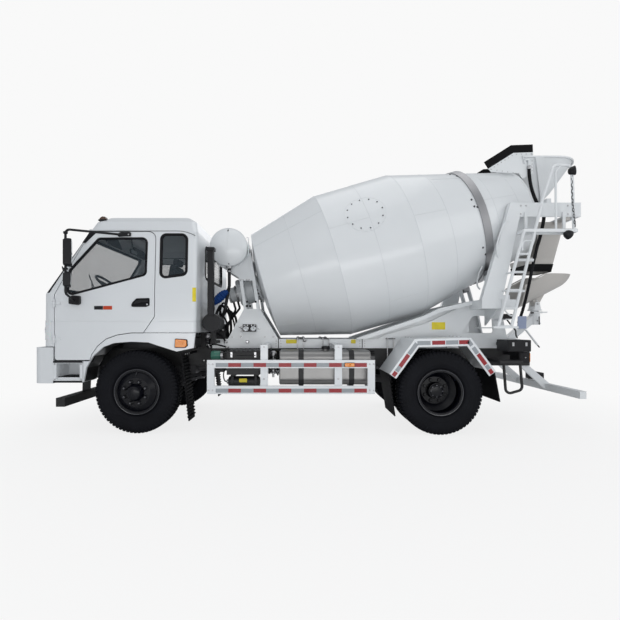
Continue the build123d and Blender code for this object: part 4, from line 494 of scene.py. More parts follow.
def rounded(corners, steps=5):
    """A closed outline whose corners, given as (a, b, radius), are rounded."""
    points = []
    count = len(corners)
    for k, corner in enumerate(corners):
        here = Vector(corner[:2])
        radius = corner[2] if len(corner) > 2 else 0
        if not radius:
            points.append(tuple(here))
            continue
        to_last = (Vector(corners[k - 1][:2]) - here).normalized()
        to_next = (Vector(corners[(k + 1) % count][:2]) - here).normalized()
        half = to_last.angle(to_next) / 2
        reach = radius / math.tan(half)
        middle = here + (to_last + to_next).normalized() * (radius / math.sin(half))
        first = here + to_last * reach - middle
        last = here + to_next * reach - middle
        for n in range(steps + 1):
            mix = first.lerp(last, n / steps).normalized() * radius
            points.append(tuple(middle + mix))
    return points


def oblong(low_a, low_b, high_a, high_b, radius, steps=5):
    """A rectangle between two corners, with its own corners rounded."""
    corners = ((low_a, low_b), (high_a, low_b), (high_a, high_b), (low_a, high_b))
    return rounded([(a, b, radius) for a, b in corners], steps)


def widened(points, amount):
    """A closed outline drawn out by amount, or in where it is negative."""
    area = sum(a[0] * b[1] - b[0] * a[1] for a, b in zip(points, points[1:] + points[:1]))
    turn = 1 if area > 0 else -1
    result = []
    count = len(points)
    for k in range(count):
        before = Vector(points[k]) - Vector(points[k - 1])
        after = Vector(points[(k + 1) % count]) - Vector(points[k])
        a = Vector((before.y, -before.x)).normalized()
        b = Vector((after.y, -after.x)).normalized()
        out = (a + b).normalized()
        share = max(out.dot(a), 0.5)
        result.append(tuple(Vector(points[k]) + out * (amount * turn / share)))
    return result


def curve_through(points, steps=6):
    """A smooth line through the given points."""
    line = []
    count = len(points)
    for k in range(count - 1):
        p0, p1, p2, p3 = (Vector(points[min(max(n, 0), count - 1)]) for n in range(k - 1, k + 3))
        for n in range(steps):
            t = n / steps
            square = (2 * p0 - 5 * p1 + 4 * p2 - p3) * t * t
            cube = (3 * p1 - p0 - 3 * p2 + p3) * t ** 3
            line.append(tuple(0.5 * ((2 * p1) + (p2 - p0) * t + square + cube)))
    line.append(tuple(points[-1]))
    return line


def skin_tree(node):
    """A search tree of one CAD node's surface, in metres."""
    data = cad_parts[node].data
    return BVHTree.FromPolygons([v.co for v in data.vertices], [tuple(p.vertices) for p in data.polygons])


def land(tree, start, way):
    """Where a ray from start along way meets a surface, with the surface's direction there."""
    place, normal = tree.ray_cast(at(*start), Vector(way).normalized())[:2]
    return ((place.x - AXLE_X) / MM, place.y / MM, place.z / MM), tuple(normal)


SIDES = (("left", -1), ("right", 1))


# Tyres and wheels

TREAD_PITCHES = 66
FRONT_TYRE_Y = 980
REAR_TYRE_Y = (1060, 740)
AXLE_HEIGHT = 525
REAR_AXLE = 3800
LOCK_RING = ((2, 284), (9, 289), (13, 286), (12, 276), (4, 272))


def tyre_profile():
    """Half a tyre's section from bead to tread: radius, Y, and the depth of a groove there."""
    return [(272, 92, 0), (292, 94, 0), (303, 112, 0), (311, 122, 0), (330, 131, 0), (350, 136, 0),
            (353, 138, 0), (359, 138, 0), (362, 136.5, 0), (385, 138.5, 0), (418, 138.5, 0), (438, 137, 0),
            (441, 138.5, 0), (447, 138, 0), (450, 135.5, 0), (462, 133.5, 0), (468, 133, 7), (490, 127, 12),
            (508, 118, 15), (519, 108, 16), (524, 98, 16), (524.6, 80, 15), (524.9, 62, 13), (525, 56, 3),
            (512, 52, 0), (512, 44, 0), (525, 40, 3), (525, 24, 7), (525, 12, 3), (513, 8, 0), (513, 0, 0)]


def add_tyre(form, x, y):
    """A tyre with blocks cut on its shoulders and zigzag ribs round its tread."""
    half = tyre_profile()
    section = [(r, -w, g) for r, w, g in half] + [(r, w, g) for r, w, g in half[::-1][1:]]
    rings = []
    for n in range(TREAD_PITCHES):
        base = 2 * math.pi * n / TREAD_PITCHES
        for share, groove in ((0.0, 0), (0.56, 0), (0.64, 1), (0.92, 1)):
            ring = []
            for r, w, depth in section:
                lean = 0.0
                if r > 511:
                    lean = 0.022 * math.cos(math.pi * w / 48) if abs(w) < 60 else -0.022
                if w > 0:
                    lean += math.pi / TREAD_PITCHES if abs(w) > 30 else 0
                t = base + share * 2 * math.pi / TREAD_PITCHES + lean
                reach = r - groove * depth * (1 if r > 480 else 0.7)
                side = w - math.copysign(groove * depth * 0.45, w) if 480 > r > 460 else w
                ring.append((x + reach * math.cos(t), y + side, AXLE_HEIGHT + reach * math.sin(t)))
            rings.append(ring)
    form.skin(rings, closed=True)


def make_tyres():
    for name, side in SIDES:
        front = Form("tyre_front_%s_lugged" % name, "front_wheel_" + name, tyre_rubber)
        add_tyre(front, 0, side * FRONT_TYRE_Y)
        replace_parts(front.done(sharp=30), "tyre_front_" + name)
        rear = Form("tyres_rear_%s_lugged" % name, "rear_wheels_" + name, tyre_rubber)
        for y in REAR_TYRE_Y:
            add_tyre(rear, REAR_AXLE, side * y)
        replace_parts(rear.done(sharp=30), "tyres_rear_" + name)


def around(x, y, reach, count, start=0.5):
    """Points on a circle about a wheel's axle."""
    points = []
    for t in angles(count, start):
        points.append((x + reach * math.cos(t), y, AXLE_HEIGHT + reach * math.sin(t)))
    return points


def make_front_wheel(name, side):
    """Hexagon nuts, the lock ring, hub cap and valve of one front wheel."""
    form = Form("wheel_front_%s_fittings" % name, "front_wheel_" + name, rim_black, bolt_dark, lock_ring)
    way = (0, side, 0)
    face = side * (FRONT_TYRE_Y + 150)
    for x, y, z in around(0, face, 142, 8):
        form.cap([(-2, 30), (4, 30), (6, 27)], (x, y, z), way, 0, 16)
        form.cap([(4, 25), (24, 25), (28, 21)], (x, y, z), way, 0, 6)
        form.cap([(30, 12), (40, 12), (42, 10)], (x, y, z), way, 1, 10)
    lip = side * (FRONT_TYRE_Y + 100)
    form.turn(LOCK_RING, (0, lip, AXLE_HEIGHT), way, 2, 96)
    form.turn([(-44, 252), (-38, 258), (-34, 252), (-38, 246)], (0, lip + side * 40, AXLE_HEIGHT), way, 0, 96)
    form.cap([(0, 82), (12, 82), (18, 76), (24, 58), (27, 30), (28, 10)], (0, face + side * 60, AXLE_HEIGHT),
             way, 0, 48)
    for x, y, z in around(0, face + side * 70, 68, 6, 0.0):
        form.bolt((x, y, z), way, 6, 1)
    form.hose([(0, lip - side * 10, AXLE_HEIGHT + 262), (0, lip + side * 12, AXLE_HEIGHT + 244),
               (0, lip + side * 30, AXLE_HEIGHT + 214)], 5, 1, 8)
    form.done(bevel=1.2)


def make_rear_wheel(name, side):
    """The outer rim's lock ring, the nuts deep in its dish and the axle's flange."""
    form = Form("wheel_rear_%s_fittings" % name, "rear_wheels_" + name, rim_black, bolt_dark, lock_ring)
    way = (0, side, 0)
    lip = side * (REAR_TYRE_Y[0] + 100)
    face = side * 914
    form.turn(LOCK_RING, (REAR_AXLE, lip, AXLE_HEIGHT), way, 2, 96)
    form.turn([(-30, 255), (-20, 259), (-16, 253), (-24, 249)], (REAR_AXLE, lip, AXLE_HEIGHT), way, 0, 96)
    for x, y, z in around(REAR_AXLE, face, 142, 8):
        form.cap([(-2, 30), (6, 30), (8, 27)], (x, y, z), way, 0, 16)
        form.cap([(6, 25), (26, 25), (30, 21)], (x, y, z), way, 0, 6)
    form.cap([(0, 88), (10, 88), (16, 80), (20, 50), (22, 12)], (REAR_AXLE, side * 1006, AXLE_HEIGHT), way, 0,
             48)
    for x, y, z in around(REAR_AXLE, side * 1016, 74, 8, 0.0):
        form.bolt((x, y, z), way, 8, 1)
    form.done(bevel=1.2)


make_tyres()
for side_name, side_sign in SIDES:
    make_front_wheel(side_name, side_sign)
    make_rear_wheel(side_name, side_sign)


# Cab

CAB_WIDTHS = ((880, 1145), (1760, 1145), (2550, 1090), (2690, 1010), (2765, 890), (2805, 640))
CAB_FRONTS = ((880, -1235, 90), (1760, -1235, 95), (2550, -700, 85), (2690, -640, 80))
DOOR_EDGE = [(-995, 931, 30), (-1000, 1740, 60), (-585, 2540, 60), (240, 2540, 90), (240, 1473, 60),
             (101, 1273, 0), (-49, 1273, 0), (-225, 1247, 0), (-365, 1195, 0), (-470, 1107, 0),
             (-540, 1003, 0), (-564, 931, 0)]
DOOR_WINDOW = [(-850, 1735, 60), (126, 2000, 50), (131, 2455, 60), (-470, 2450, 50), (-818, 2053, 60)]
QUARTER_WINDOW = [(315, 1957, 60), (636, 2000, 60), (636, 2505, 70), (315, 2505, 60)]
REAR_WINDOW = [(-620, 2010, 70), (620, 2010, 70), (620, 2440, 70), (-620, 2440, 70)]
MIRROR_X = -720
MIRROR_Y = 1410
MIRROR_TURN = 25
CAB_REAR = 761
WINDSCREEN = [(-985, 1830, 90), (985, 1830, 90), (915, 2500, 110), (-915, 2500, 110)]


def between(table, z, column):
    """The table's value at height z."""
    for low, high in zip(table, table[1:]):
        if z <= high[0]:
            share = max(0.0, (z - low[0]) / (high[0] - low[0]))
            return low[column] + share * (high[column] - low[column])
    return table[-1][column]


def cab_side(z):
    """The cab's half width at height z."""
    return between(CAB_WIDTHS, z, 1)


def cab_front(y, z):
    """X of the cab's bowed front."""
    front = between(CAB_FRONTS, z, 1)
    bow = between(CAB_FRONTS, z, 2)
    half = cab_side(z)
    radius = (half ** 2 + bow ** 2) / (2 * bow)
    return front + radius - math.sqrt(radius ** 2 - y ** 2)


def seal_ring(form, outline, spot, wide_in, wide_out, proud, deep):
    """A rubber section round an opening; spot(a, b, out) gives a point at out from the wall."""
    rims = [(widened(outline, -wide_in), -deep), (widened(outline, -wide_in), proud * 0.5),
            (widened(outline, -wide_in + 4), proud), (widened(outline, wide_out - 5), proud),
            (widened(outline, wide_out), proud * 0.3), (widened(outline, wide_out), -3.0)]
    rings = [[spot(*points[k], out) for points, out in rims] for k in range(len(outline))]
    form.skin(rings, closed=True)


def side_spot(side):
    return lambda x, z, out: (x, side * (cab_side(z) + out), z)


def screen_spot(y, z, out):
    return (cab_front(y, z) - out * 0.83, y, z + out * 0.55)


def rear_spot(y, z, out):
    return (CAB_REAR + out, y, z)


def plate_on_side(form, side, points, proud, sunk=3, look=0):
    """A flat plate on the cab's side, standing proud of it."""
    spot = side_spot(side)
    form.skin([[spot(x, z, out) for x, z in points] for out in (-sunk, proud)], look)


def make_seals():
    form = Form("cab_window_seals", "cab", seal_black)
    for name, side in SIDES:
        seal_ring(form, rounded(QUARTER_WINDOW), side_spot(side), 16, 17, 5, 16)
    seal_ring(form, rounded(WINDSCREEN), screen_spot, 26, 26, 6, 16)
    seal_ring(form, rounded(REAR_WINDOW), rear_spot, 16, 20, 6, 16)
    form.done()
    for name, side in SIDES:
        form = Form("door_window_seal_" + name, "door_" + name, seal_black)
        seal_ring(form, rounded(DOOR_WINDOW), side_spot(side), 10, 17, 5, 16)
        form.done()
    form = Form("door_gap_seals", "cab", seal_black)
    for name, side in SIDES:
        spot = side_spot(side)
        line = rounded(DOOR_EDGE)
        inner = widened(line, -12)
        outer = widened(line, 24)
        rings = [[spot(*inner[k], -49), spot(*outer[k], -49), spot(*outer[k], -56),
                  spot(*inner[k], -56)] for k in range(len(line))]
        form.skin(rings, closed=True)
    form.done()


def make_door_fittings(name, side):
    """Handle, lock and trim strip of one door."""
    form = Form("door_fittings_" + name, "door_" + name, black_plastic, seal_black, badge_orange, bolt_steel)
    bezel = rounded([(-47, 1612, 10), (-30, 1650, 24), (20, 1699, 26), (184, 1704, 16), (184, 1609, 20),
                     (140, 1592, 30), (-30, 1592, 22)])
    spot = side_spot(side)
    inner = widened(bezel, -12)
    rings = [[spot(*bezel[k], -2), spot(*bezel[k], 6), spot(*ridge, 9), spot(*inner[k], 6),
              spot(*inner[k], 1)] for k, ridge in enumerate(widened(bezel, -5))]
    form.skin(rings, 0, closed=True)
    form.skin([[spot(x, z, out) for x, z in inner] for out in (-2, 2)], 1)
    grip = [(-8, 1634), (20, 1668), (60, 1680), (166, 1682), (168, 1656), (64, 1650), (34, 1636)]
    form.skin([[spot(x, z, out) for x, z in grip] for out in (3, 16, 20)], 0)
    form.cap([(0, 11), (5, 11), (6, 9)], spot(152, 1624, 2), (0, side, 0), 3, 16)
    plate_on_side(form, side, oblong(-507, 1559, -398, 1605, 4, 2), 3, 2, 0)
    plate_on_side(form, side, oblong(-394, 1559, -284, 1605, 4, 2), 3, 2, 2)
    form.done(bevel=1.0)


def make_mirror_fittings(name, side):
    """The mirrors' brackets on the door, the clamps on the arm, and the glass in the two heads."""
    form = Form("mirror_fittings_" + name, "door_" + name, black_plastic, mirror_glass, bolt_steel)
    form.prism(rounded([(-806, 1628, 14), (-806, 1716, 14), (-758, 1733, 8), (-670, 1728, 14),
                        (-670, 1632, 14), (-700, 1614, 10)], 3), "y", side * 1138, side * 1186)
    form.prism([(-760, 1640), (-760, 1700), (-700, 1700), (-700, 1640)], "y", side * 1180, side * GUARD_SIDE)
    form.prism(rounded([(-222, 2474, 8), (-222, 2512, 12), (-190, 2532, 12), (-66, 2532, 12),
                        (-66, 2482, 12)], 3), "y", side * 1086, side * 1122)
    for x in (-200, -90):
        form.bolt((x, side * 1121, 2500), (0, side, 0), 7, 2)
    first = len(form.mesh.verts)
    for low, high, half, rear in ((2065, 2385, 94, -660), (1816, 1994, 76, -670)):
        near, far = side * MIRROR_Y - half + 6, side * MIRROR_Y + half - 6
        frame_line = oblong(near, low + 6, far, high - 6, 30, 4)
        form.prism(frame_line, "x", rear - 2, rear + 5, 0)
        form.prism(widened(frame_line, -9), "x", rear, rear + 6.5, 1)
        form.prism(widened(frame_line, -8), "x", MIRROR_X - 24, MIRROR_X - 8, 0)
    form.turned(first, (MIRROR_X, side * MIRROR_Y), -side * MIRROR_TURN)
    for z, reach, tall in ((2225, 30, 26), (1905, 30, 26), (2460, 25, 14), (2032, 25, 14)):
        form.cap([(-tall, reach - 4), (4 - tall, reach), (tall - 4, reach), (tall, reach - 4)],
                 (MIRROR_X, side * MIRROR_Y, z), UP, 0, 20)
    form.done(bevel=2.0)


def make_roof_fittings():
    """Marker lamps and the drip rails on the roof."""
    form = Form("cab_roof_fittings", "cab", cab_white, seal_black, marker_lens, black_plastic)
    tree = skin_tree("cab_shell")
    for side in (-1, 1):
        x, y, z = land(tree, (-480, side * 930, 3200), DOWN)[0]
        form.prism([(x - 52, z - 8), (x - 44, z + 22), (x - 12, z + 44), (x + 26, z + 40), (x + 44, z - 4)],
                   "y", y - 34, y + 34, 2)
        form.prism([(x - 60, z - 14), (x - 56, z + 6), (x + 50, z + 6), (x + 54, z - 14)], "y", y - 42,
                   y + 42, 3)
        rail = []
        for k in range(24):
            x = -590 + k * (1330 / 23)
            drop = 60 * max(0.0, (x - 520) / 220) ** 2
            rail.append((x, 2566 - drop))
        shape = ((-4, -13), (10, -13), (15, -2), (15, 4), (10, 3), (8, -5), (-4, -5))
        gasket = ((-4, -19), (2.5, -19), (2.5, -13), (-4, -13))
        rings = []
        for x, z in rail:
            base = cab_side(z)
            rings.append([(x, side * (base + out), z + up) for out, up in shape])
        form.skin(rings, 0)
        rings = []
        for x, z in rail:
            base = cab_side(z - 18)
            rings.append([(x, side * (base + out), z + up) for out, up in gasket])
        form.skin(rings, 1)
    form.done(bevel=1.5)


def make_front_fittings():
    """Wipers, grille panel and the lamp rings."""
    form = Form("cab_front_fittings", "cab", black_plastic, chrome, seal_black, cab_white)
    reach = -1
    for y in (-520, 330):
        x = cab_front(y, 1775)
        form.cap([(-10, 22), (24, 20), (34, 12)], (x + 6, y, 1790), (-0.83, 0, 0.55), 0, 20)
        tip = (cab_front(y + reach * 330, 2010) - 26, y + reach * 330, 2026)
        form.hose([(x - 20, y, 1796), (x + 8, y + reach * 60, 1850), tip], 8, 0, 8)
        blade = []
        for n in range(9):
            share = n / 8
            by = y + reach * (80 + 470 * share)
            bz = 1905 + 190 * share
            blade.append((cab_front(by, bz) - 20, by, bz + 10))
        form.tube(blade, 8, 2, 6)
    low, high = 1192, 1408
    rows = []
    for n in range(25):
        y = -636 + n * 53
        rows.append([(cab_front(y, low) + 22, y, low), (cab_front(y, high) + 22, y, high),
                     (cab_front(y, high) + 27, y, high), (cab_front(y, low) + 27, y, low)])
    form.skin(rows, 2)
    for n in range(41):
        y = -630 + n * 31.5
        x = cab_front(y, 1300)
        form.slab((x + 12, y - 3, low + 4), (x + 24, y + 3, high - 4), 2)
    form.done(bevel=0.8)
    lamps = Form("headlamp_inner", "cab", chrome, black_plastic, amber_lens)
    tree = skin_tree("headlamps")
    for side in (-1, 1):
        for y, z, radius in ((845, 1312, 78), (1010, 1306, 66)):
            spot, way = land(tree, (-2000, side * y, z), BACK)
            lamps.turn([(-3, radius), (5, radius), (7, radius - 5), (5, radius - 12), (-3, radius - 12)],
                       spot, way, 0, 40)
            lamps.cap([(-3, radius - 34), (3, radius - 34), (9, radius - 48), (11, 8)], spot, way, 0, 32)
    lamps.done()


def proud_ring(spots, proud, sunk):
    """A thin closed section over landed spots, from sunk below the surface to proud of it."""
    outer = [tuple(Vector(spot) + Vector(way) * proud) for spot, way in spots]
    inner = [tuple(Vector(spot) - Vector(way) * sunk) for spot, way in spots]
    return outer + inner[::-1]


def make_cab_trim():
    """Side lamps on the wheel arches, reflective strips on the rear corners, and the bumper's fittings."""
    form = Form("cab_side_trim", "cab", amber_lens, black_plastic, label_yellow, seal_black)
    tree = skin_tree("cab_shell")
    for side in (-1, 1):
        form.prism(rounded([(494, 1082, 10), (628, 1082, 26), (660, 1108, 16), (654, 1188, 20),
                            (500, 1200, 16)], 3), "y", side * 1143, side * 1152, 1)
        form.prism(rounded([(506, 1092, 8), (624, 1092, 22), (648, 1112, 12), (644, 1180, 16),
                            (510, 1190, 12)], 3), "y", side * 1150, side * 1168, 0)
        form.prism(oblong(524, 1112, 600, 1166, 6, 3), "y", side * 1166, side * 1173, 0)
        rings = []
        for x in (714, 724, 734, 744, 752):
            spots = [land(tree, (x, side * 1600, z), (0, -side, 0)) for z in (1660, 1758, 1762, 1835)]
            rings.append(proud_ring(spots, 2.0, 1.0))
        form.skin(rings, 2)
        rings = []
        for n in range(21):
            z = 1770 + n * 35
            middle = (cab_front(cab_side(z) - 120, z) + 120, side * (cab_side(z) - 120))
            spots = []
            for step in range(5):
                turn = math.radians(17 + (z - 1770) * 0.041 + step * 5.5)
                out = (-math.sin(turn), side * math.cos(turn))
                start = (middle[0] + out[0] * 400, middle[1] + out[1] * 400, z)
                spots.append(land(tree, start, (-out[0], -out[1], 0)))
            rings.append(proud_ring(spots, 1.6, 2.0))
        form.skin(rings, 3)
        patch = [(-677, 2403), (-640, 2395), (-508, 2525), (-520, 2545), (-585, 2545)]
        plate_on_side(form, side, patch, 1.5, 3, 3)
    form.done()
    bumper = Form("bumper_fittings", "chassis", black_plastic, clear_lens, chrome, plate_blank, step_rubber,
                  bolt_steel)
    for side in (-1, 1):
        bumper.prism(oblong(side * 648, 722, side * 812, 838, 18, 4), "x", -1297, -1282, 0)
        for y in (690, 770):
            bumper.turn([(-2, 36), (8, 36), (10, 32), (8, 28), (-2, 28)], (-1297, side * y, 780), FORWARD, 2,
                        32)
            bumper.cap([(-2, 29), (4, 29), (9, 20), (11, 4)], (-1297, side * y, 780), FORWARD, 1, 32)
        bumper.slab((-1018, side * 1141, 897), (-654, side * 1141 + side * 7, 921), 4)
        bumper.slab((-1018, side * 1141, 648), (-654, side * 1141 + side * 6, 672), 4)
        for n in range(9):
            bumper.slab((-972 + n * 32, side * 850, 712), (-952 + n * 32, side * 1118, 720), 4)
        for n in range(9):
            bumper.slab((-1004 + n * 39, side * 850, 918), (-984 + n * 39, side * 1136, 925), 4)
        for x in (-1000, -672):
            for z in (690, 880):
                bumper.bolt((x, side * 1140, z), (0, side, 0), 8, 5)
    bumper.prism(oblong(-225, 715, 225, 845, 8, 3), "x", -1328.5, -1318, 0)
    bumper.prism(oblong(-218, 722, 218, 838, 6, 3), "x", -1329.5, -1324, 3)
    bumper.done(bevel=1.2)


make_seals()
for side_name, side_sign in SIDES:
    make_door_fittings(side_name, side_sign)
    make_mirror_fittings(side_name, side_sign)
make_roof_fittings()
make_front_fittings()
make_cab_trim()


# Behind the cab, the front support and the frame's fittings

def make_side_guard_fittings():
    """Silver and red reflective tape, side lamps and bolts on both guards."""
    form = Form("side_guard_fittings", "chassis", tape_silver, tape_red, amber_lens, black_plastic,
                bolt_steel)
    pitch = 155.3
    for side in (-1, 1):
        for low, high in ((849, 899), (533, 583)):
            for k in range(12):
                start = 1017 + k * pitch
                form.slab((start, side * 1199, low), (start + pitch, side * 1202, high), k % 2)
        form.prism(oblong(2600, 848, 2734, 904, 12, 3), "y", side * GUARD_SIDE, side * 1207, 3)
        form.prism(oblong(2607, 854, 2727, 898, 10, 3), "y", side * 1206, side * 1219, 2)
        form.cap([(0, 12), (5, 12), (8, 8)], (2667, side * 1217, 876), (0, side, 0), 2, 20)
        for x in (930, 980, 2915, 2965):
            for z in (562, 885):
                form.bolt((x, side * GUARD_SIDE, z), (0, side, 0), 8, 4)
        for x in (1612, 2532):
            for z in (700, 1095):
                form.bolt((x, side * 1171, z), (0, side, 0), 9, 4)
    form.done(bevel=0.8)


def make_tank_fittings():
    """The fuel tank's black cap and seams, the battery cover, the air tank's label, canister and valves."""
    form = Form("tank_fittings", "chassis", black_plastic, bolt_steel, label_yellow, canister_green,
                silver_cast, hose_black)
    cap_x, cap_y = 2390, -930
    ridge = []
    for n, t in enumerate(angles(48)):
        reach = 56 if n % 4 < 2 else 53.4
        ridge.append((cap_x + reach * math.cos(t), cap_y + reach * math.sin(t)))
    form.prism(ridge, "z", 1052, 1090, 0)
    form.cap([(0, 50), (6, 48), (9, 40), (10, 8)], (cap_x, cap_y, 1089), UP, 0, 32)
    form.hose([(cap_x + 50, cap_y, 1070), (cap_x + 84, cap_y - 10, 1060), (cap_x + 110, cap_y - 6, 1046)], 3,
              1, 6)
    form.slab((1126, -1086, 1010), (1556, -556, 1040), 0)
    form.slab((1134, -1084, 918), (1548, -1078, 936), 0)
    for x in (1180, 1480):
        form.slab((x, -1092, 960), (x + 26, -1082, 1026), 1)
        form.cap([(0, 8), (20, 8)], (x + 13, -1096, 996), RIGHT, 1, 8)
    form.hose([(1260, -1080, 985), (1266, -1102, 985), (1330, -1106, 985), (1420, -1106, 985),
               (1484, -1102, 985), (1490, -1080, 985)], 5, 0, 8)
    for n in range(7):
        form.slab((1150 + n * 58, -1070, 1039), (1182 + n * 58, -580, 1046), 0)
    form.prism(oblong(1278, 636, 1378, 684, 6, 3), "y", -1005, -1001.5, 2)
    form.cap([(0, 30), (20, 30), (26, 24), (30, 10)], (1136, -930, 638), FORWARD, 4, 24)
    form.hose([(1112, -930, 638), (1080, -930, 650), (1060, -900, 720), (1070, -820, 800), (1090, -640, 880),
               (1100, -450, 900)], 8, 5, 8)
    form.cap([(0, 10), (14, 10), (16, 6), (30, 6)], (1330, -930, 566), DOWN, 4, 12)
    body = [(0, 40), (6, 54), (14, 57), (70, 57), (74, 60), (82, 60), (86, 57), (110, 57), (120, 48),
            (124, 20)]
    form.cap(body, (1044, -1005, 982), FORWARD, 3, 36)
    form.cap([(0, 44), (30, 44), (34, 36)], (1076, -1005, 982), FORWARD, 4, 24)
    form.slab((1040, -1040, 1008), (1128, -960, 1022), 0)
    form.slab((1110, -1030, 940), (1130, -980, 1022), 0)
    form.slab((1650, -930, 735), (1668, -560, 1040), 0)
    for z, reach in ((985, 46), (880, 52), (775, 40)):
        form.cap([(0, reach * 0.6), (8, reach), (60, reach), (70, reach * 0.7), (90, reach * 0.5), (94, 14)],
                 (1706, -800, z), LEFT, 4, 24)
        form.cap([(0, 14), (60, 14)], (1706, -860, z - 30), DOWN, 1, 10)
        form.slab((1664, -830, z - 18), (1712, -780, z + 18), 4)
    for k, z in enumerate((1000, 930, 860, 790)):
        form.hose([(1740, -820 + 14 * k, z), (1768, -840, z - 30), (1762, -760, z - 90), (1735, -640, z - 60),
                   (1700, -500, z)], 7, 5, 8)
    form.done(bevel=1.0)


FACE_Y, DIAL_Y = -496, -500.6  # of the control box's face and of its dials


def make_control_box():
    """The control box's black face with two round dials, its levers and the plate's edge bolts, and black
    discs and oblongs in painted shade that stand for holes in the plate.
    """
    form = Form("control_box_face", "chassis", black_plastic, dial_white, chrome, bolt_steel, painted_hole_shade)
    face = oblong(1255, 1277, 1445, 1382, 12, 4)
    form.prism(face, "y", -489, FACE_Y, 0)
    for x in (1302, 1404):
        form.turn([(-2, 38), (9, 38), (12, 34), (9, 30), (-2, 30)], (x, FACE_Y, 1322), LEFT, 2, 32)
        form.cap([(-2, 31), (4, 31), (4.5, 29)], (x, FACE_Y, 1322), LEFT, 1, 32)
        form.slab((x - 1.5, -502, 1322), (x + 1.5, DIAL_Y, 1346), 0)
        for n in range(9):
            t = math.radians(225 - n * 33.75)
            cx, cz = x + 25 * math.cos(t), 1322 + 25 * math.sin(t)
            form.cap([(0, 1.8), (0.8, 1.8)], (cx, DIAL_Y, cz), LEFT, 0, 6)
        form.cap([(0, 4), (2, 4)], (x, DIAL_Y, 1322), LEFT, 0, 10)
    for x in (1280, 1325, 1380, 1425):
        form.cap([(0, 8), (4, 8), (6, 6), (14, 6), (16, 4)], (x, FACE_Y, 1369), LEFT, 2, 14)
    form.hose([(1250, -460, 1330), (1228, -466, 1336), (1196, -470, 1344)], 7, 2, 8)
    form.cap([(0, 13), (10, 15), (22, 13), (26, 6)], (1232, -470, 1334), LEFT, 3, 14)
    form.hose([(1450, -460, 1320), (1470, -466, 1318), (1500, -470, 1312)], 6, 2, 8)
    form.tube([(1230, -445, 1328), (1230, -445, 1276), (1226, -445, 1190)], 6, 2, 8)
    # Black discs and oblongs on the plate: painted shade standing in for holes
    for x, z in ((1308, 1700), (1428, 1700)):
        form.cap([(-1, 15), (1.5, 15)], (x, -430, z), LEFT, 4, 20)
    for x, z in ((1306, 1640), (1352, 1640)):
        form.prism(oblong(x - 17, z - 14, x + 17, z + 14, 4, 2), "y", -429, -431.5, 4)
    for x, z in ((1218, 2012), (1336, 2012), (1250, 2012), (1304, 2012)):
        form.bolt((x, -430, z), LEFT, 9, 3)
    for x in (1100, 1220, 1560, 1680):
        form.bolt((x, -430, 1205), LEFT, 10, 3)
    form.done(bevel=0.8)


def make_frame_fittings():
    """Joints with their bolts and a black strip in painted shade for each joint's gap, U-bolts, blank labels
    and small valves along the subframe and rails, on both sides.
    """
    form = Form("frame_fittings", "chassis", body_white, chassis_black, label_yellow, bolt_steel, hose_black,
                painted_hole_shade)
    for side in (-1, 1):
        y = side * RAIL_SIDE
        # A black strip at each joint: painted shade standing in for the gap between the sections
        for x in (1752, 2934, 4120):
            form.slab((x - 5, y, 1048), (x + 5, y + side * 2, 1174), 5)
            for z in (1075, 1110, 1145):
                for out in (-34, 34):
                    form.bolt((x + out, y, z), (0, side, 0), 7, 3)
        for x in (2064, 2420, 3330):
            for out in (-42, 42):
                form.tube([(x + out, y + side * 11, 838), (x + out, y + side * 11, 1190)], 9, 3, 10)
                form.cap([(0, 17), (15, 17), (17, 14)], (x + out, y + side * 11, 1178), UP, 3, 6)
            form.slab((x - 66, y - side * 30, 1174), (x + 66, y + side * 26, 1184), 1)
        for x, wide in ((1858, 150), (2776, 66)):
            form.prism(oblong(x, 1112, x + wide, 1168, 4, 2), "y", y, y + side * 1.6, 2)
        for x in range(700, 5150, 150):
            if not 3150 < x < 4450:
                form.bolt((x, y, 872), (0, side, 0), 9, 3)
        for x in (1010, 1180, 1400):
            form.cap([(0, 14), (10, 14), (12, 10)], (x, y, 985), (0, side, 0), 3, 12)
        for reach, heights in ((8, (1004, 1000, 1008, 1002)), (6, (975, 972, 980, 974))):
            line = zip((880, 1600, 2400, 3100), (16, 18, 16, 18), heights)
            form.hose([(x, y + side * out, z) for x, out, z in line], reach, 4, 8, 4)
    form.cap([(0, 22), (10, 26), (40, 26), (48, 16), (60, 16), (64, 10)], (2123, -430, 1160), LEFT, 3, 20)
    form.cap([(0, 22), (8, 24), (26, 24), (34, 16)], (1317, -430, 1137), LEFT, 3, 20)
    form.prism(oblong(3916, 1308, 4106, 1412, 5, 3), "y", -429, -431.8, 2)
    form.prism(oblong(4672, 1706, 4815, 1765, 5, 3), "y", -846, -844, 0)
    form.done(bevel=0.6)


def make_flap_ribs():
    """Ribs moulded across the front mud flaps, and the flaps' clamping bars."""
    form = Form("front_flap_ribs", "chassis", flap_rubber, bolt_steel, chassis_black)
    for side in (-1, 1):
        low, high = sorted((side * 1118, side * 832))
        for n in range(19):
            share = (n + 0.5) / 19
            z = 985 - share * 790
            x = 578 + (1015 - z) * 94 / 850
            form.prism([(x - 4, z - 13), (x + 13, z - 9), (x + 16, z), (x + 13, z + 9), (x - 4, z + 13)], "y",
                       low, high)
            x -= 12
            form.prism([(x + 4, z - 13), (x - 8, z - 8), (x - 10, z), (x - 8, z + 8), (x + 4, z + 13)], "y",
                       low, high)
        for y in (870, 960, 1050):
            form.bolt((602, side * y, 1000), BACK, 9, 1)
    form.done(bevel=1.5)


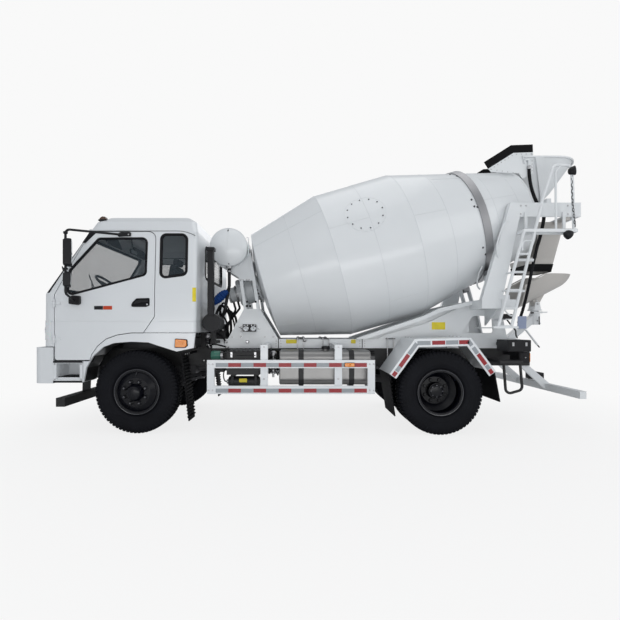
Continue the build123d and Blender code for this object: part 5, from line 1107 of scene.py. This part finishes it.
def make_clutter():
    """Hoses, pipes, the silver canister and the blue protective sleeve behind the cab."""
    form = Form("engine_bay_hoses", "chassis", hose_black, silver_cast, hose_pale, sleeve_blue, rope_tan,
                bolt_steel, chassis_black)
    routes = (
        (17, (790, -330, 1180), (800, -390, 1330), (850, -420, 1470), (905, -410, 1600), (930, -360, 1500),
         (940, -300, 1300)),
        (14, (830, -250, 1180), (850, -330, 1380), (930, -400, 1520), (1010, -390, 1420), (1030, -330, 1250),
         (1040, -300, 1185)),
        (19, (770, -120, 1180), (800, -180, 1420), (900, -260, 1650), (1020, -300, 1560), (1060, -300, 1400),
         (1050, -260, 1190)),
        (13, (800, 60, 1180), (830, 20, 1500), (900, -60, 1700), (1000, -160, 1620), (1090, -200, 1400),
         (1100, -220, 1190)),
        (18, (790, 250, 1180), (830, 240, 1450), (930, 200, 1600), (1060, 120, 1500), (1090, 60, 1300),
         (1090, 40, 1190)),
        (12, (760, -400, 1090), (800, -440, 1180), (880, -455, 1250), (960, -460, 1215), (1010, -450, 1130)),
        (10, (770, -380, 1060), (830, -440, 1100), (930, -452, 1085), (1030, -448, 1060)))
    for reach, *route in routes:
        form.hose(route, reach, 0, 10, 7)
        for end in (route[0], route[-1]):
            form.cap([(-14, 24), (-11, 26), (11, 26), (14, 24)], end, UP, 5, 12)
    form.hose([(775, -418, 1905), (770, -430, 1780), (752, -440, 1660), (772, -445, 1545), (768, -440, 1430),
               (800, -445, 1330), (812, -440, 1262)], 9, 2, 10, 7)
    form.cap([(0, 34), (8, 42), (60, 42), (68, 36), (90, 26), (96, 10)], (768, -430, 1215), LEFT, 1, 28)
    form.cap([(-4, 20), (0, 24), (40, 24), (44, 18)], (812, -430, 1250), DOWN, 1, 20)
    form.slab((742, -436, 1150), (800, -380, 1240), 6)
    form.slab((780, -430, 1176), (830, 430, 1192), 6)
    form.slab((1006, -392, 1176), (1040, 392, 1190), 6)
    form.cap([(0, 60), (10, 74), (120, 74), (130, 64), (134, 20)], (790, -250, 1190), UP, 6, 28)
    form.cap([(0, 66), (14, 82), (200, 82), (210, 60), (214, 20)], (880, 120, 1178), UP, 6, 28)
    form.cap([(0, 30), (90, 30), (96, 22), (150, 22), (154, 8)], (880, -300, 1178), UP, 1, 20)
    core = curve_through([(1048, -512, 1838), (1006, -528, 1812), (960, -532, 1768), (905, -530, 1716),
                          (862, -528, 1672), (836, -526, 1634)], 6)
    reach = []
    for k in range(len(core)):
        share = k / (len(core) - 1)
        reach.append(26 + 34 * math.sin(math.pi * min(1, share * 1.15)) + 4 * math.sin(k * 2.1))
    form.tube(core, reach, 3, 14)
    form.hose([(1062, -505, 1880), (1052, -515, 1850), (1020, -524, 1822)], 24, 0, 12, 4)
    form.hose([(838, -528, 1640), (826, -530, 1600), (834, -534, 1560), (818, -530, 1520)], 8, 4, 8, 5)
    form.hose([(850, -528, 1655), (862, -530, 1600), (850, -520, 1540), (870, -500, 1470), (900, -470, 1420),
               (930, -410, 1290)], 13, 0, 10, 5)
    form.done(bevel=1.0)


TANK_X, TANK_Z = 1070, 2449
TANK_BALL = (258 ** 2 + 85 ** 2) / 170  # radius of the water tank's bulged ends


def tank_end(z):
    """How far out the tank's end is at z from its middle."""
    return 650 - TANK_BALL + math.sqrt(TANK_BALL ** 2 - z ** 2)


def make_water_tank_fittings():
    """The tank's weld seams, end seams, level gauge, filler lid, clamps and bolts."""
    form = Form("water_tank_fittings", "chassis", drum_white, bolt_steel, seal_black, clear_lens)
    for y in (-565, 0, 565):
        form.turn([(-7, 255), (-5, 260), (0, 261.5), (5, 260), (7, 255)], (TANK_X, y, TANK_Z), RIGHT, 0, 72)
    form.cap([(0, 76), (14, 76), (18, 70), (24, 30), (26, 12)], (TANK_X, 0, 2737), UP, 0, 36)
    for t in angles(8):
        form.bolt((TANK_X + 62 * math.cos(t), 62 * math.sin(t), 2753), UP, 7, 1)
    for side in (-1, 1):
        seam = []
        for n in range(25):
            z = -250 + 500 * n / 24
            seam.append((TANK_X, side * tank_end(z), TANK_Z + z))
        form.tube(seam, 2.6, 0, 6)
        for x, z in ((TANK_X, 228), (1066, 214), (1076, -236)):
            form.cap([(-3, 8), (5, 8), (7, 5)], (x, side * tank_end(z), TANK_Z + z), (0, side, 0), 2, 12)
    form.turn([(-12, 41), (-12, 47), (12, 47), (12, 41)], (TANK_X, -500, 2176), UP, 1, 24)
    form.turn([(-9, 22), (-9, 27), (9, 27), (9, 22)], (TANK_X, -500, 2120), UP, 1, 24)
    form.tube([(1325, -560, 2330), (1345, -560, 2330), (1345, -560, 2580), (1318, -560, 2580)], 8, 3, 10)
    form.done(bevel=0.8)


make_side_guard_fittings()
make_tank_fittings()
make_control_box()
make_frame_fittings()
make_flap_ribs()
make_clutter()
make_water_tank_fittings()


# Drum

DRUM_TILT = math.radians(16)
DRUM_FOOT_X, DRUM_FOOT_Z = 1548, 1973  # where the front end meets the axis
BARREL_START, BARREL_END, BARREL_RADIUS = 1015, 2099, 1057


def drum_point(s, up, y=0.0):
    """The point at s along the drum's axis, up square to it and y to the side."""
    return (DRUM_FOOT_X + s * math.cos(DRUM_TILT) - up * math.sin(DRUM_TILT), y,
            DRUM_FOOT_Z + s * math.sin(DRUM_TILT) + up * math.cos(DRUM_TILT))


DRUM_WAY = (math.cos(DRUM_TILT), 0, math.sin(DRUM_TILT))
DRUM_BACK = [-c for c in DRUM_WAY]


def drum_radius(s):
    """The drum's outer radius at s."""
    if s < BARREL_START:
        return 782 + s / BARREL_START * 275
    if s < BARREL_END:
        return BARREL_RADIUS
    return BARREL_RADIUS - (s - BARREL_END) / 1746 * 427


def on_drum(s, turn, out=0.0):
    """A point on the drum's skin; turn is counted from the left side upward, in degrees."""
    t = math.radians(turn)
    reach = drum_radius(s) + out
    return drum_point(s, reach * math.sin(t), -reach * math.cos(t))


def drum_out(turn):
    t = math.radians(turn)
    up = math.sin(t)
    return (-up * math.sin(DRUM_TILT), -math.cos(t), up * math.cos(DRUM_TILT))


def make_drum_seams():
    """Weld beads round the drum and along it, and the bolted hatch."""
    form = Form("drum_seams", "drum", drum_white, bolt_dark, weld_white)
    for s in (8, 520, 1015, 1560, 2099, 2560, 3260, 3620):
        top = drum_radius(s)
        bead = [(-6, drum_radius(s - 6) - 3), (-3, top + 1.2), (0, top + 2.2), (3, top + 1.2),
                (6, drum_radius(s + 6) - 3)]
        form.turn(bead, drum_point(s, 0), DRUM_WAY, 2, 128)
    form.turn([(-16, 628), (-16, 634), (-8, 640), (4, 641), (8, 634), (8, 620), (2, 618)],
              drum_point(3843, 0), DRUM_WAY, 0, 96)
    for start, end, turns in ((8, 1015, (38, 128, 218, 308)), (1015, 1560, (20, 140, 260)),
                              (1560, 2099, (75, 195, 315)), (2099, 2560, (12, 132, 252)),
                              (2560, 3005, (48, 168, 288)), (3110, 3620, (15, 135, 255))):
        for turn in turns:
            line = [on_drum(start + (end - start) * n / 8, turn) for n in range(9)]
            form.tube(line, 2.4, 2, 6)
    hatch_s, hatch_turn = 1525.0, 24.5
    for a in angles(12):
        s = hatch_s + 232 * math.cos(a)
        turn = hatch_turn + math.degrees(232 * math.sin(a) / BARREL_RADIUS)
        way = drum_out(turn)
        form.cap([(-2, 14), (2.5, 14), (3, 12)], on_drum(s, turn), way, 0, 16)
        form.cap([(2, 9.5), (9, 9.5), (11, 7)], on_drum(s, turn), way, 1, 6)
    ring = []
    for a in angles(72):
        turn = hatch_turn + math.degrees(math.sin(a) / BARREL_RADIUS * 268)
        ring.append(on_drum(hatch_s + 268 * math.cos(a), turn, 0.2))
    form.tube(ring, 1.6, 2, 6, closed=True)
    form.done()


def make_drum_ends():
    """The bolts of the drum's flange, the gearbox's ribs and bolts, and the ring's clamps."""
    form = Form("drum_flange_bolts", "drum", bolt_dark, drum_white)
    for t in angles(24):
        centre = drum_point(-128, 205 * math.sin(t), 205 * math.cos(t))
        form.cap([(-18, 15), (18, 15), (22, 11)], centre, DRUM_WAY, 0, 6)
    form.turn([(-12, 180), (-12, 236), (12, 236), (12, 180)], drum_point(-112, 0), DRUM_WAY, 1, 72)
    for turn in range(0, 360, 45):
        for s in (3001, 3115):
            form.cap([(-4, 15), (6, 15), (9, 10)], on_drum(s, turn + 9, 0), drum_out(turn + 9), 0, 6)
    for turn in (10, 17, 62, 82, 152, 212, 272, 332):
        form.cap([(-4, 14), (8, 14), (10, 10)], on_drum(2960, turn, 0), drum_out(turn), 0, 6)
    form.done(bevel=0.8)
    gear = Form("gearbox_fittings", "chassis", bolt_dark, frame_white, silver_cast, hose_black)
    for t in angles(20):
        gear.cap([(-8, 11), (8, 11), (10, 8)], drum_point(-346, 232 * math.sin(t), 232 * math.cos(t)),
                 DRUM_BACK, 0, 6)
    for t in angles(12):
        low = drum_point(-345, 190 * math.sin(t), 190 * math.cos(t))
        gear.tube([drum_point(-424, 192 * math.sin(t), 192 * math.cos(t)), low], 9, 1, 6)
    for t in angles(6, 0.5):
        gear.cap([(0, 15), (12, 15), (14, 11)], drum_point(-430, 150 * math.sin(t), 150 * math.cos(t)),
                 DRUM_BACK, 0, 6)
    gear.turn([(0, 100), (0, 126), (16, 126), (16, 100)], drum_point(-470, 0), DRUM_WAY, 2, 40)
    gear.turn([(0, 100), (0, 118), (10, 118), (10, 100)], drum_point(-560, 0), DRUM_WAY, 2, 40)
    gear.done(bevel=0.8)


make_drum_seams()
make_drum_ends()


# Rear: fenders, lamps, ladder, hopper and chute

ARCH = ((3153, 766), (3463, 1194), (4154, 1210), (4458, 798))


def along_arch(start, end):
    """Points of the rear arch between two distances along it, with the corners between them."""
    points = []
    gone = 0.0
    for a, b in zip(ARCH, ARCH[1:]):
        a, b = Vector(a), Vector(b)
        reach = (b - a).length
        for at_place in (start, end):
            if gone <= at_place <= gone + reach:
                points.append((at_place, a.lerp(b, (at_place - gone) / reach)))
        if start < gone + reach < end:
            points.append((gone + reach, b))
        gone += reach
    return [tuple(row[1]) for row in sorted(points, key=lambda row: row[0])]


def lowered(points, amount):
    """The same line moved square to itself, down and inward to the wheel."""
    result = []
    middle = Vector((3806, 700))
    for k, point in enumerate(points):
        here = Vector(point)
        way = Vector(points[min(k + 1, len(points) - 1)]) - Vector(points[max(k - 1, 0)])
        out = Vector((way.y, -way.x)).normalized()
        if out.dot(middle - here) < 0:
            out = -out
        result.append(tuple(here + out * amount))
    return result


def make_fender_tape():
    """Reflective tape round the rear fenders' lips, and the fenders' bolts."""
    form = Form("rear_fender_tape", "chassis", tape_silver, tape_red, bolt_steel)
    total = sum((Vector(b) - Vector(a)).length for a, b in zip(ARCH, ARCH[1:]))
    bands = [(8, 70, 1), (78, 150, 0), (150, 330, 1), (338, 500, 0), (560, 720, 0), (740, 900, 1),
             (910, 1060, 0), (1070, 1190, 1), (1196, 1300, 0), (1330, 1420, 0), (1430, 1590, 1),
             (1600, 1660, 0), (1664, total - 6, 1)]
    for start, end, look in bands:
        line = along_arch(start, min(end, total - 2))
        upper = lowered(line, 26)
        lower = lowered(line, 76)
        for side in (-1, 1):
            for k in range(len(line) - 1):
                quad = [upper[k], upper[k + 1], lower[k + 1], lower[k]]
                form.prism(quad, "y", side * 1229, side * 1232.5, look)
    for side in (-1, 1):
        for y in (620, 760, 900, 1040):
            form.bolt((3500, side * y, 1203), UP, 9, 2)
            form.bolt((4100, side * y, 1218), UP, 9, 2)
    form.done(bevel=0.5)


def make_lamps():
    """Lenses on the lamp housings, tool box lids with their latches, and the rear plate."""
    form = Form("rear_lamp_lenses", "chassis", red_lens, amber_lens, clear_lens, black_plastic, bolt_steel,
                plate_blank)
    for side in (-1, 1):
        for y1, y2, look in ((-948, -872, 1), (-868, -790, 0), (-786, -708, 2)):
            a, b = sorted((side * -y1, side * -y2))
            form.prism(oblong(a, 893, b, 1007, 8, 3), "x", 5018, 5031, look)
            for n in range(4):
                z = 910 + n * 26
                form.slab((5030, a + 8, z), (5033, b - 8, z + 8), look)
        outer = side * 1040
        form.prism(oblong(4712, 1040, 4978, 1168, 8, 3), "y", outer, outer + side * 6, 3)
        for x in (4760, 4926):
            form.slab((x - 12, outer + side * 4, 1100), (x + 12, outer + side * 14, 1146), 4)
        form.prism(oblong(4894, 888, 5010, 1012, 6, 3), "y", side * 955, side * 960, 3)
        form.cap([(0, 9), (22, 9), (26, 5)], (4952, side * 960, 950), (0, side, 0), 4, 12)
        for y in (1120, 700, 240):
            form.prism(oblong(side * y - 55, 470, side * y + 55, 526, 8, 3), "x", 5599, 5604, 0)
    form.prism(oblong(-250, 548, 250, 678, 8, 3), "x", 5594, 5602, 3)
    form.prism(oblong(-242, 556, 242, 670, 6, 3), "x", 5601, 5604, 5)
    for y in (-150, 150):
        form.slab((5588, y - 20, 480), (5596, y + 20, 600), 3)
    form.done(bevel=1.0)


LADDER_Y = -1000


def make_ladder_fittings():
    """Sleeves, chain, work lamps, arm bolts, pipes and panels about the ladder and platform."""
    form = Form("ladder_fittings", "chassis", black_plastic, bolt_steel, frame_white, clear_lens, chain_black,
                panel_blue, hose_black, tread_grey)
    for z in (1582, 1814, 2045, 2277):
        front = 4593 + (z - 1350) * 287 / 1054
        rear = 4762 + (z - 1350) * 406 / 1655
        for n in range(6):
            x = front + 22 + (rear - front - 44) * (n + 0.5) / 6
            form.turn([(-7, 13), (-7, 16.5), (7, 16.5), (7, 13)], (x, LADDER_Y, z), BACK, 2, 14)
    for x in range(4930, 5590, 28):
        form.slab((x, -1010, 2595), (x + 9, -852, 2600), 7)
    for y in (-1006, -950, -896):
        form.slab((4916, y, 2594), (5592, y + 7, 2602), 7)
    top = Vector((5536, -1004, 3350))
    low = Vector((5560, -1022, 2640))
    for n in range(19):
        share = n / 18
        middle = top.lerp(low, share)
        middle.x -= 16 * math.sin(math.pi * share)
        link = []
        for t in angles(12):
            up = 24 * math.sin(t)
            out = 10 * math.cos(t)
            link.append((middle.x + (out if n % 2 else 0), middle.y + (0 if n % 2 else out), middle.z + up))
        form.tube(link, 4.4, 4, 6, closed=True)
    for centre, way in (((5530, -1010, 3336), (0.85, -0.4, 0.1)), ((5474, -1010, 2528), (0.9, 0.25, -0.35))):
        form.cap([(-46, 20), (-40, 34), (-12, 50), (26, 58), (34, 58), (38, 52)], centre, way, 0, 28)
        form.cap([(36, 50), (40, 50), (43, 40), (44, 10)], centre, way, 3, 28)
    form.tube([(5500, LADDER_Y, 3405), (5515, -1006, 3372), (5524, -1008, 3350)], 9, 0, 8)
    form.tube([(5470, LADDER_Y, 2590), (5470, -1004, 2560), (5472, -1008, 2540)], 9, 0, 8)
    for side in (-1, 1):
        for x in (4960, 5030, 5580, 5660):
            for z in (2830, 2940):
                form.bolt((x, side * POST_SIDE, z), (0, side, 0), 9, 1)
        form.prism([(4668, 1706), (4730, 1706), (4730, 1730), (4668, 1730)], "y", side * POST_SIDE,
                   side * 849, 2)
        form.hose([(4790, side * 852, 2740), (4735, side * 866, 2700), (4690, side * 868, 2600),
                   (4640, side * 868, 2440), (4640, side * 862, 2340), (4662, side * 848, 2250)], 11, 2, 10,
                  5)
        form.hose([(4566, side * 500, 1870), (4520, side * 520, 1930), (4520, side * 560, 2060),
                   (4560, side * 600, 2180)], 11, 2, 8, 5)
    form.tube([(4905, -846, 2224), (5122, -846, 2224)], 20, 2, 14)
    form.tube([(4786, -846, 1817), (5004, -846, 1817)], 18, 2, 14)
    form.hose([(4900, LADDER_Y, 2320), (4902, LADDER_Y, 2400), (4926, LADDER_Y, 2440), (4972, LADDER_Y, 2448),
               (5020, LADDER_Y, 2440)], 12, 2, 10, 5)
    form.hose([(4716, -850, 1706), (4716, -868, 1640), (4740, -872, 1560), (4800, -868, 1500),
               (4860, -850, 1490)], 10, 2, 8, 5)
    form.prism(rounded([(5036, 1320, 10), (5154, 1320, 10), (5160, 1494, 10), (5042, 1490, 10)], 3), "y",
               -612, -600, 5)
    form.slab((4990, -606, 1330), (5040, -430, 1350), 2)
    form.prism(rounded([(4768, 1452, 10), (4900, 1452, 10), (4896, 1516, 16), (4780, 1520, 16)], 3), "y",
               -760, -640, 0)
    form.slab((4800, -760, 1440), (4870, -430, 1454), 2)
    form.hose([(4840, -700, 1452), (4900, -690, 1380), (5000, -620, 1300), (5080, -480, 1230),
               (5120, -436, 1190)], 10, 6, 8, 6)
    form.done(bevel=0.8)


RIVET = ((-3, 8), (2, 8), (4, 5))


def make_hopper_fittings():
    """Rivets on the hopper's cheeks and apron, the wash pipe and its hoses."""
    form = Form("hopper_fittings", "chassis", bolt_steel, frame_white, hose_black, seal_black)
    for side in (-1, 1):
        y = side * 461
        line = ((4700, 3568), (5053, 3790), (5330, 3800))
        for a, b in zip(line, line[1:]):
            a, b = Vector(a), Vector(b)
            count = int((b - a).length / 58)
            for n in range(count):
                p = a.lerp(b, (n + 0.5) / count)
                form.cap(RIVET, (p.x + 8, y, p.y - 22), (0, side, 0), 0, 10)
        for n in range(6):
            form.cap(RIVET, (5316, y, 3770 - n * 46), (0, side, 0), 0, 10)
        for n in range(6):
            p = Vector((4745, 3556)).lerp(Vector((5125, 3500)), n / 5)
            form.cap(RIVET, (p.x, y, p.y), (0, side, 0), 0, 10)
    form.hose([(5204, -468, 3640), (5206, -474, 3676), (5226, -476, 3690), (5258, -474, 3680),
               (5264, -472, 3640), (5266, -470, 3560)], 15, 1, 12, 5)
    form.hose([(5266, -470, 3580), (5272, -472, 3460), (5290, -478, 3320), (5318, -500, 3180),
               (5330, -560, 3050), (5320, -600, 2960)], 22, 2, 14, 7)
    form.cap([(-24, 26), (-20, 28), (20, 28), (24, 26)], (5266, -470, 3580), UP, 0, 18)
    form.hose([(5296, -790, 2850), (5285, -800, 2760), (5262, -800, 2640), (5238, -790, 2520),
               (5224, -770, 2440)], 22, 2, 14, 6)
    form.hose([(5224, -770, 2440), (5205, -740, 2300), (5190, -700, 2150), (5182, -660, 2000),
               (5190, -560, 1800), (5200, -440, 1600), (5140, -430, 1400)], 20, 2, 14, 6)
    form.done(bevel=0.6)


CHUTE_X = 5600


def make_chute_fittings():
    """The two bars along the trough's sides, its bolts, and the crank and screw that lift it."""
    form = Form("chute_fittings", "chute_trough", frame_white, bolt_steel, chute_grey)
    for side in (-1, 1):
        form.tube([(5340, side * 297, 1985), (5560, side * 297, 2100), (5610, side * 297, 2118)], 9, 2, 10)
    form.bolt((CHUTE_X, -62, 1740), LEFT, 10, 1)
    form.bolt((CHUTE_X, 62, 1740), RIGHT, 10, 1)
    form.done(bevel=0.8)
    yoke = Form("chute_crank", "chute_turntable", frame_white, bolt_steel, chassis_black)
    yoke.tube([(CHUTE_X, -112, 1560), (CHUTE_X, -200, 1560)], 14, 1, 12)
    yoke.tube([(CHUTE_X, -196, 1560), (5560, -198, 1556), (5440, -200, 1550)], 10, 0, 10)
    yoke.tube([(5440, -200, 1550), (5440, -262, 1550)], 12, 2, 10)
    yoke.tube([(CHUTE_X, -196, 1560), (5680, -196, 1562)], 9, 0, 10)
    yoke.turn([(-10, 49), (-10, 62), (10, 62), (10, 49)], (CHUTE_X, 0, 1572), UP, 0, 36)
    for n in range(4):
        t = math.pi * n / 2 + 0.4
        yoke.bolt((CHUTE_X + 62 * math.cos(t), 62 * math.sin(t), 1572), (math.cos(t), math.sin(t), 0), 7, 1)
    for y in (-92, 92):
        yoke.bolt((CHUTE_X, y * 1.09, 1690), (0, y, 0), 13, 1)
    yoke.done(bevel=0.8)
    base = Form("chute_lock", "chassis", frame_white, bolt_steel, chassis_black)
    base.turn([(-10, 74), (-10, 84), (10, 84), (10, 74)], (CHUTE_X, 0, 1400), UP, 0, 40)
    base.tube([(CHUTE_X, -78, 1440), (CHUTE_X, -130, 1440)], 12, 1, 12)
    base.tube([(CHUTE_X, -126, 1500), (CHUTE_X, -130, 1380)], 8, 2, 8)
    screw = [(5400, -150, 1290), (5450, -152, 1222), (5560, -154, 1080)]
    base.tube([(5360, -146, 1330), (5400, -150, 1290)], 12, 0, 10)
    base.tube(screw, 14, 0, 12)
    base.tube([(5560, -154, 1080), (5590, -154, 1044)], 9, 2, 10)
    base.slab((5340, -158, 1322), (5380, -60, 1342), 0)
    base.done(bevel=0.8)


make_fender_tape()
make_lamps()
make_ladder_fittings()
make_hopper_fittings()
make_chute_fittings()


# Seats: padded cushions on their frames, in place of the plain ones

SEAT_Y = 640


def swell(value, power):
    """The value with its size raised to a power, which rounds a circle toward a box."""
    return math.copysign(abs(value) ** power, value)


def make_pad(name, middle, size, lean, seams, welts):
    """A stuffed cushion: size is length, width and thickness, lean its turn about Y in degrees."""
    form = Form(name, "cab", seat_cloth, seal_black)
    long, wide, thick = (value / 2 for value in size)
    turn = Matrix.Rotation(math.radians(lean), 3, "Y")
    centre = Vector(middle)

    def spot(u, v, w):
        return tuple(centre + turn @ Vector((u, v, w)))

    rings = []
    steps = 44
    for n in range(steps + 1):
        share = -1 + 2 * n / steps
        end = max(0.05, 1 - abs(share) ** 7) ** 0.4
        ring = []
        for t in angles(64):
            v = wide * swell(math.cos(t), 0.34) * (0.86 + 0.14 * end)
            puff = 1 - 0.16 * (v / wide) ** 2 - 0.14 * share ** 2
            for place, lines in ((share, seams), (v / wide, welts)):
                for line in lines:
                    puff -= 0.17 * math.exp(-((place - line) / 0.035) ** 2)
            w = thick * swell(math.sin(t), 0.45) * end * (puff if math.sin(t) > 0 else 1)
            ring.append(spot(long * share, v, w))
        rings.append(ring)
    form.skin(rings)
    edge = oblong(-long * 0.97, -wide * 0.99, long * 0.97, wide * 0.99, 40, 5)
    form.tube([spot(u, v, thick * 0.42) for u, v in edge], 4, 1, 8, closed=True)
    form.done(sharp=60)


def make_seats():
    """Two sprung seats with head rests, and the bench behind them."""
    frames = Form("seat_frames", "cab", black_plastic, bolt_steel, seal_black, grey_plastic)
    for side in (-1, 1):
        y = side * SEAT_Y
        label = "driver" if side < 0 else "passenger"
        make_pad("seat_cushion_" + label, (80, y, 1626), (500, 510, 126), 0, (-0.45, 0.35), (-0.62, 0.62))
        make_pad("seat_back_" + label, (348, y, 1905), (520, 500, 100), -81, (-0.5, 0.0, 0.5), (-0.62, 0.62))
        make_pad("head_rest_" + label, (398, y, 2214), (86, 270, 84), -81, (), ())
        frames.prism(rounded([(-130, 1300, 20), (310, 1300, 20), (310, 1340, 10), (-130, 1340, 10)], 3), "y",
                     y - 230, y + 230)
        for n in range(7):
            low = 1340 + n * 27
            inset = 14 if n % 2 else 0
            frames.slab((-110 + inset, y - 210 + inset, low), (290 - inset, y + 210 - inset, low + 27), 2)
        frames.slab((-120, y - 236, 1528), (318, y + 236, 1566), 0)
        for out in (-1, 1):
            frames.prism(rounded([(250, 1560, 14), (322, 1560, 14), (352, 1720, 20), (262, 1700, 20)], 3),
                         "y", y + out * 252, y + out * 240, 0)
            frames.cap([(-4, 26), (6, 26), (10, 20)], (306, y + out * 250, 1640), (0, out, 0), 3, 20)
            frames.tube([(372, y + out * 70, 2130), (384, y + out * 70, 2180), (390, y + out * 70, 2200)], 7,
                        1, 10)
        frames.tube([(-150, y - 100, 1520), (-172, y - 100, 1500), (-172, y + 100, 1500),
                     (-150, y + 100, 1520)], 7, 1, 8)
        frames.slab((150, y + 236, 1560), (178, y + 252, 1610), 0)
        frames.slab((146, y + 240, 1606), (182, y + 256, 1650), 3)
    frames.slab((474, -1030, 1306), (696, 1030, 1520), 3)
    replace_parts(frames.done(bevel=2.0), "seats")
    make_pad("bench_pad", (585, 0, 1574), (224, 2070, 124), 0, (), (-0.5, 0.0, 0.5))


make_seats()


def make_cab_inside():
    """Sun visors, the inner mirror, the dashboard's hood and the gear lever."""
    form = Form("cab_inside_fittings", "cab", grey_plastic, mirror_glass, black_plastic, bolt_dark)
    for side in (-1, 1):
        visor = rounded([(-585, 2610, 6), (-571, 2618, 6), (-506, 2458, 6), (-520, 2450, 6)], 3)
        form.prism(visor, "y", side * 520 - 230, side * 520 + 230, 0)
    form.prism(oblong(-120, 2440, 120, 2510, 24, 4), "x", -470, -450, 2)
    form.prism(oblong(-112, 2448, 112, 2502, 20, 4), "x", -451, -447, 1)
    form.tube([(-462, 0, 2500), (-480, 0, 2600), (-500, 0, 2775)], 9, 2, 8)
    hood = rounded([(-860, 1700, 40), (-620, 1720, 50), (-560, 1640, 20), (-860, 1640, 10)], 4)
    form.prism(hood, "y", -900, -380, 2)
    form.hose([(-330, -120, 1300), (-300, -120, 1500), (-250, -140, 1700)], 10, 3, 10)
    form.cap([(-26, 10), (-20, 22), (14, 24), (26, 14)], (-246, -142, 1722), (0.2, 0, 1), 2, 16)
    form.done(bevel=1.0)


make_cab_inside()


# Floor, lights and background

BACKDROP = (0.947, 0.947, 0.947, 1)
FLOOR_GLOW = 0.86  # share of the backdrop in the floor's look beside the truck
FADE_FROM, FADE_TO = 2.5, 6.5  # metres from the middle over which that share rises to the whole


def mix_shaders(owner, share, own, other, output):
    """Shows other in place of own by the share, at the named output."""
    mix = add(owner, "MixShader")
    join(owner, share, mix.inputs["Fac"])
    join(owner, own, mix.inputs[1])
    join(owner, other, mix.inputs[2])
    join(owner, mix.outputs["Shader"], owner.node_tree.nodes[output].inputs["Surface"])


def make_floor():
    """A plain pale floor that fades into the background away from the truck."""
    shape = bmesh.new()
    bmesh.ops.create_grid(shape, x_segments=1, y_segments=1, size=60)
    data = bpy.data.meshes.new("floor")
    shape.to_mesh(data)
    floor = bpy.data.objects.new("floor", data)
    bpy.context.scene.collection.objects.link(floor)
    mat = shader("floor", (0.86, 0.86, 0.86), 0.9, Specular_IOR_Level=0.1)
    glow = add(mat, "Emission", _Color=BACKDROP, _Strength=1.0)
    path = add(mat, "LightPath")
    distance = add(mat, "VectorMath", operation="LENGTH")
    join(mat, add(mat, "TexCoord").outputs["Object"], distance.inputs[0])
    fade = add(mat, "MapRange", interpolation_type="SMOOTHSTEP", _From_Min=FADE_FROM, _From_Max=FADE_TO,
               _To_Min=FLOOR_GLOW, _To_Max=1.0)
    join(mat, distance.outputs["Value"], fade.inputs["Value"])
    seen = math_node(mat, "MAXIMUM", path.outputs["Is Camera Ray"], path.outputs["Is Transmission Ray"])
    share = math_node(mat, "MULTIPLY", seen, fade.outputs["Result"])
    mix_shaders(mat, share, main_of(mat).outputs["BSDF"], glow.outputs["Emission"], "Material Output")
    data.materials.append(mat)


def make_world():
    """Even studio light that the camera sees as a near white background."""
    world = bpy.data.worlds.new("studio")
    bpy.context.scene.world = world
    world.use_nodes = True
    back = world.node_tree.nodes["Background"]
    back.inputs["Color"].default_value = (0.93, 0.96, 1.0, 1)
    back.inputs["Strength"].default_value = 0.50
    seen = add(world, "Background", _Color=BACKDROP)
    path = add(world, "LightPath")
    share = math_node(world, "MAXIMUM", path.outputs["Is Camera Ray"], path.outputs["Is Transmission Ray"])
    mix_shaders(world, share, back.outputs["Background"], seen.outputs["Background"], "World Output")


def area_light(name, place, aim, size, power):
    data = bpy.data.lights.new(name, "AREA")
    data.shape = "RECTANGLE"
    data.size, data.size_y = size
    data.energy = power
    light = bpy.data.objects.new(name, data)
    light.location = at(*place)
    light.rotation_mode = "QUATERNION"
    light.rotation_quaternion = (at(*aim) - light.location).to_track_quat("-Z", "Y")
    bpy.context.scene.collection.objects.link(light)


make_floor()
make_world()
area_light("key", (-1500, -7500, 7500), (2200, 0, 1200), (7, 5), 40)
area_light("low_fill", (2100, -8500, 900), (2100, 0, 1500), (9, 1.5), 140)
area_light("top", (3000, 0, 9500), (2500, 0, 1500), (9, 6), 165)
area_light("rear_fill", (9500, -5000, 4500), (3500, 0, 1600), (5, 4), 80)
area_light("far_fill", (2400, 8500, 5000), (2200, 0, 1500), (8, 4), 110)
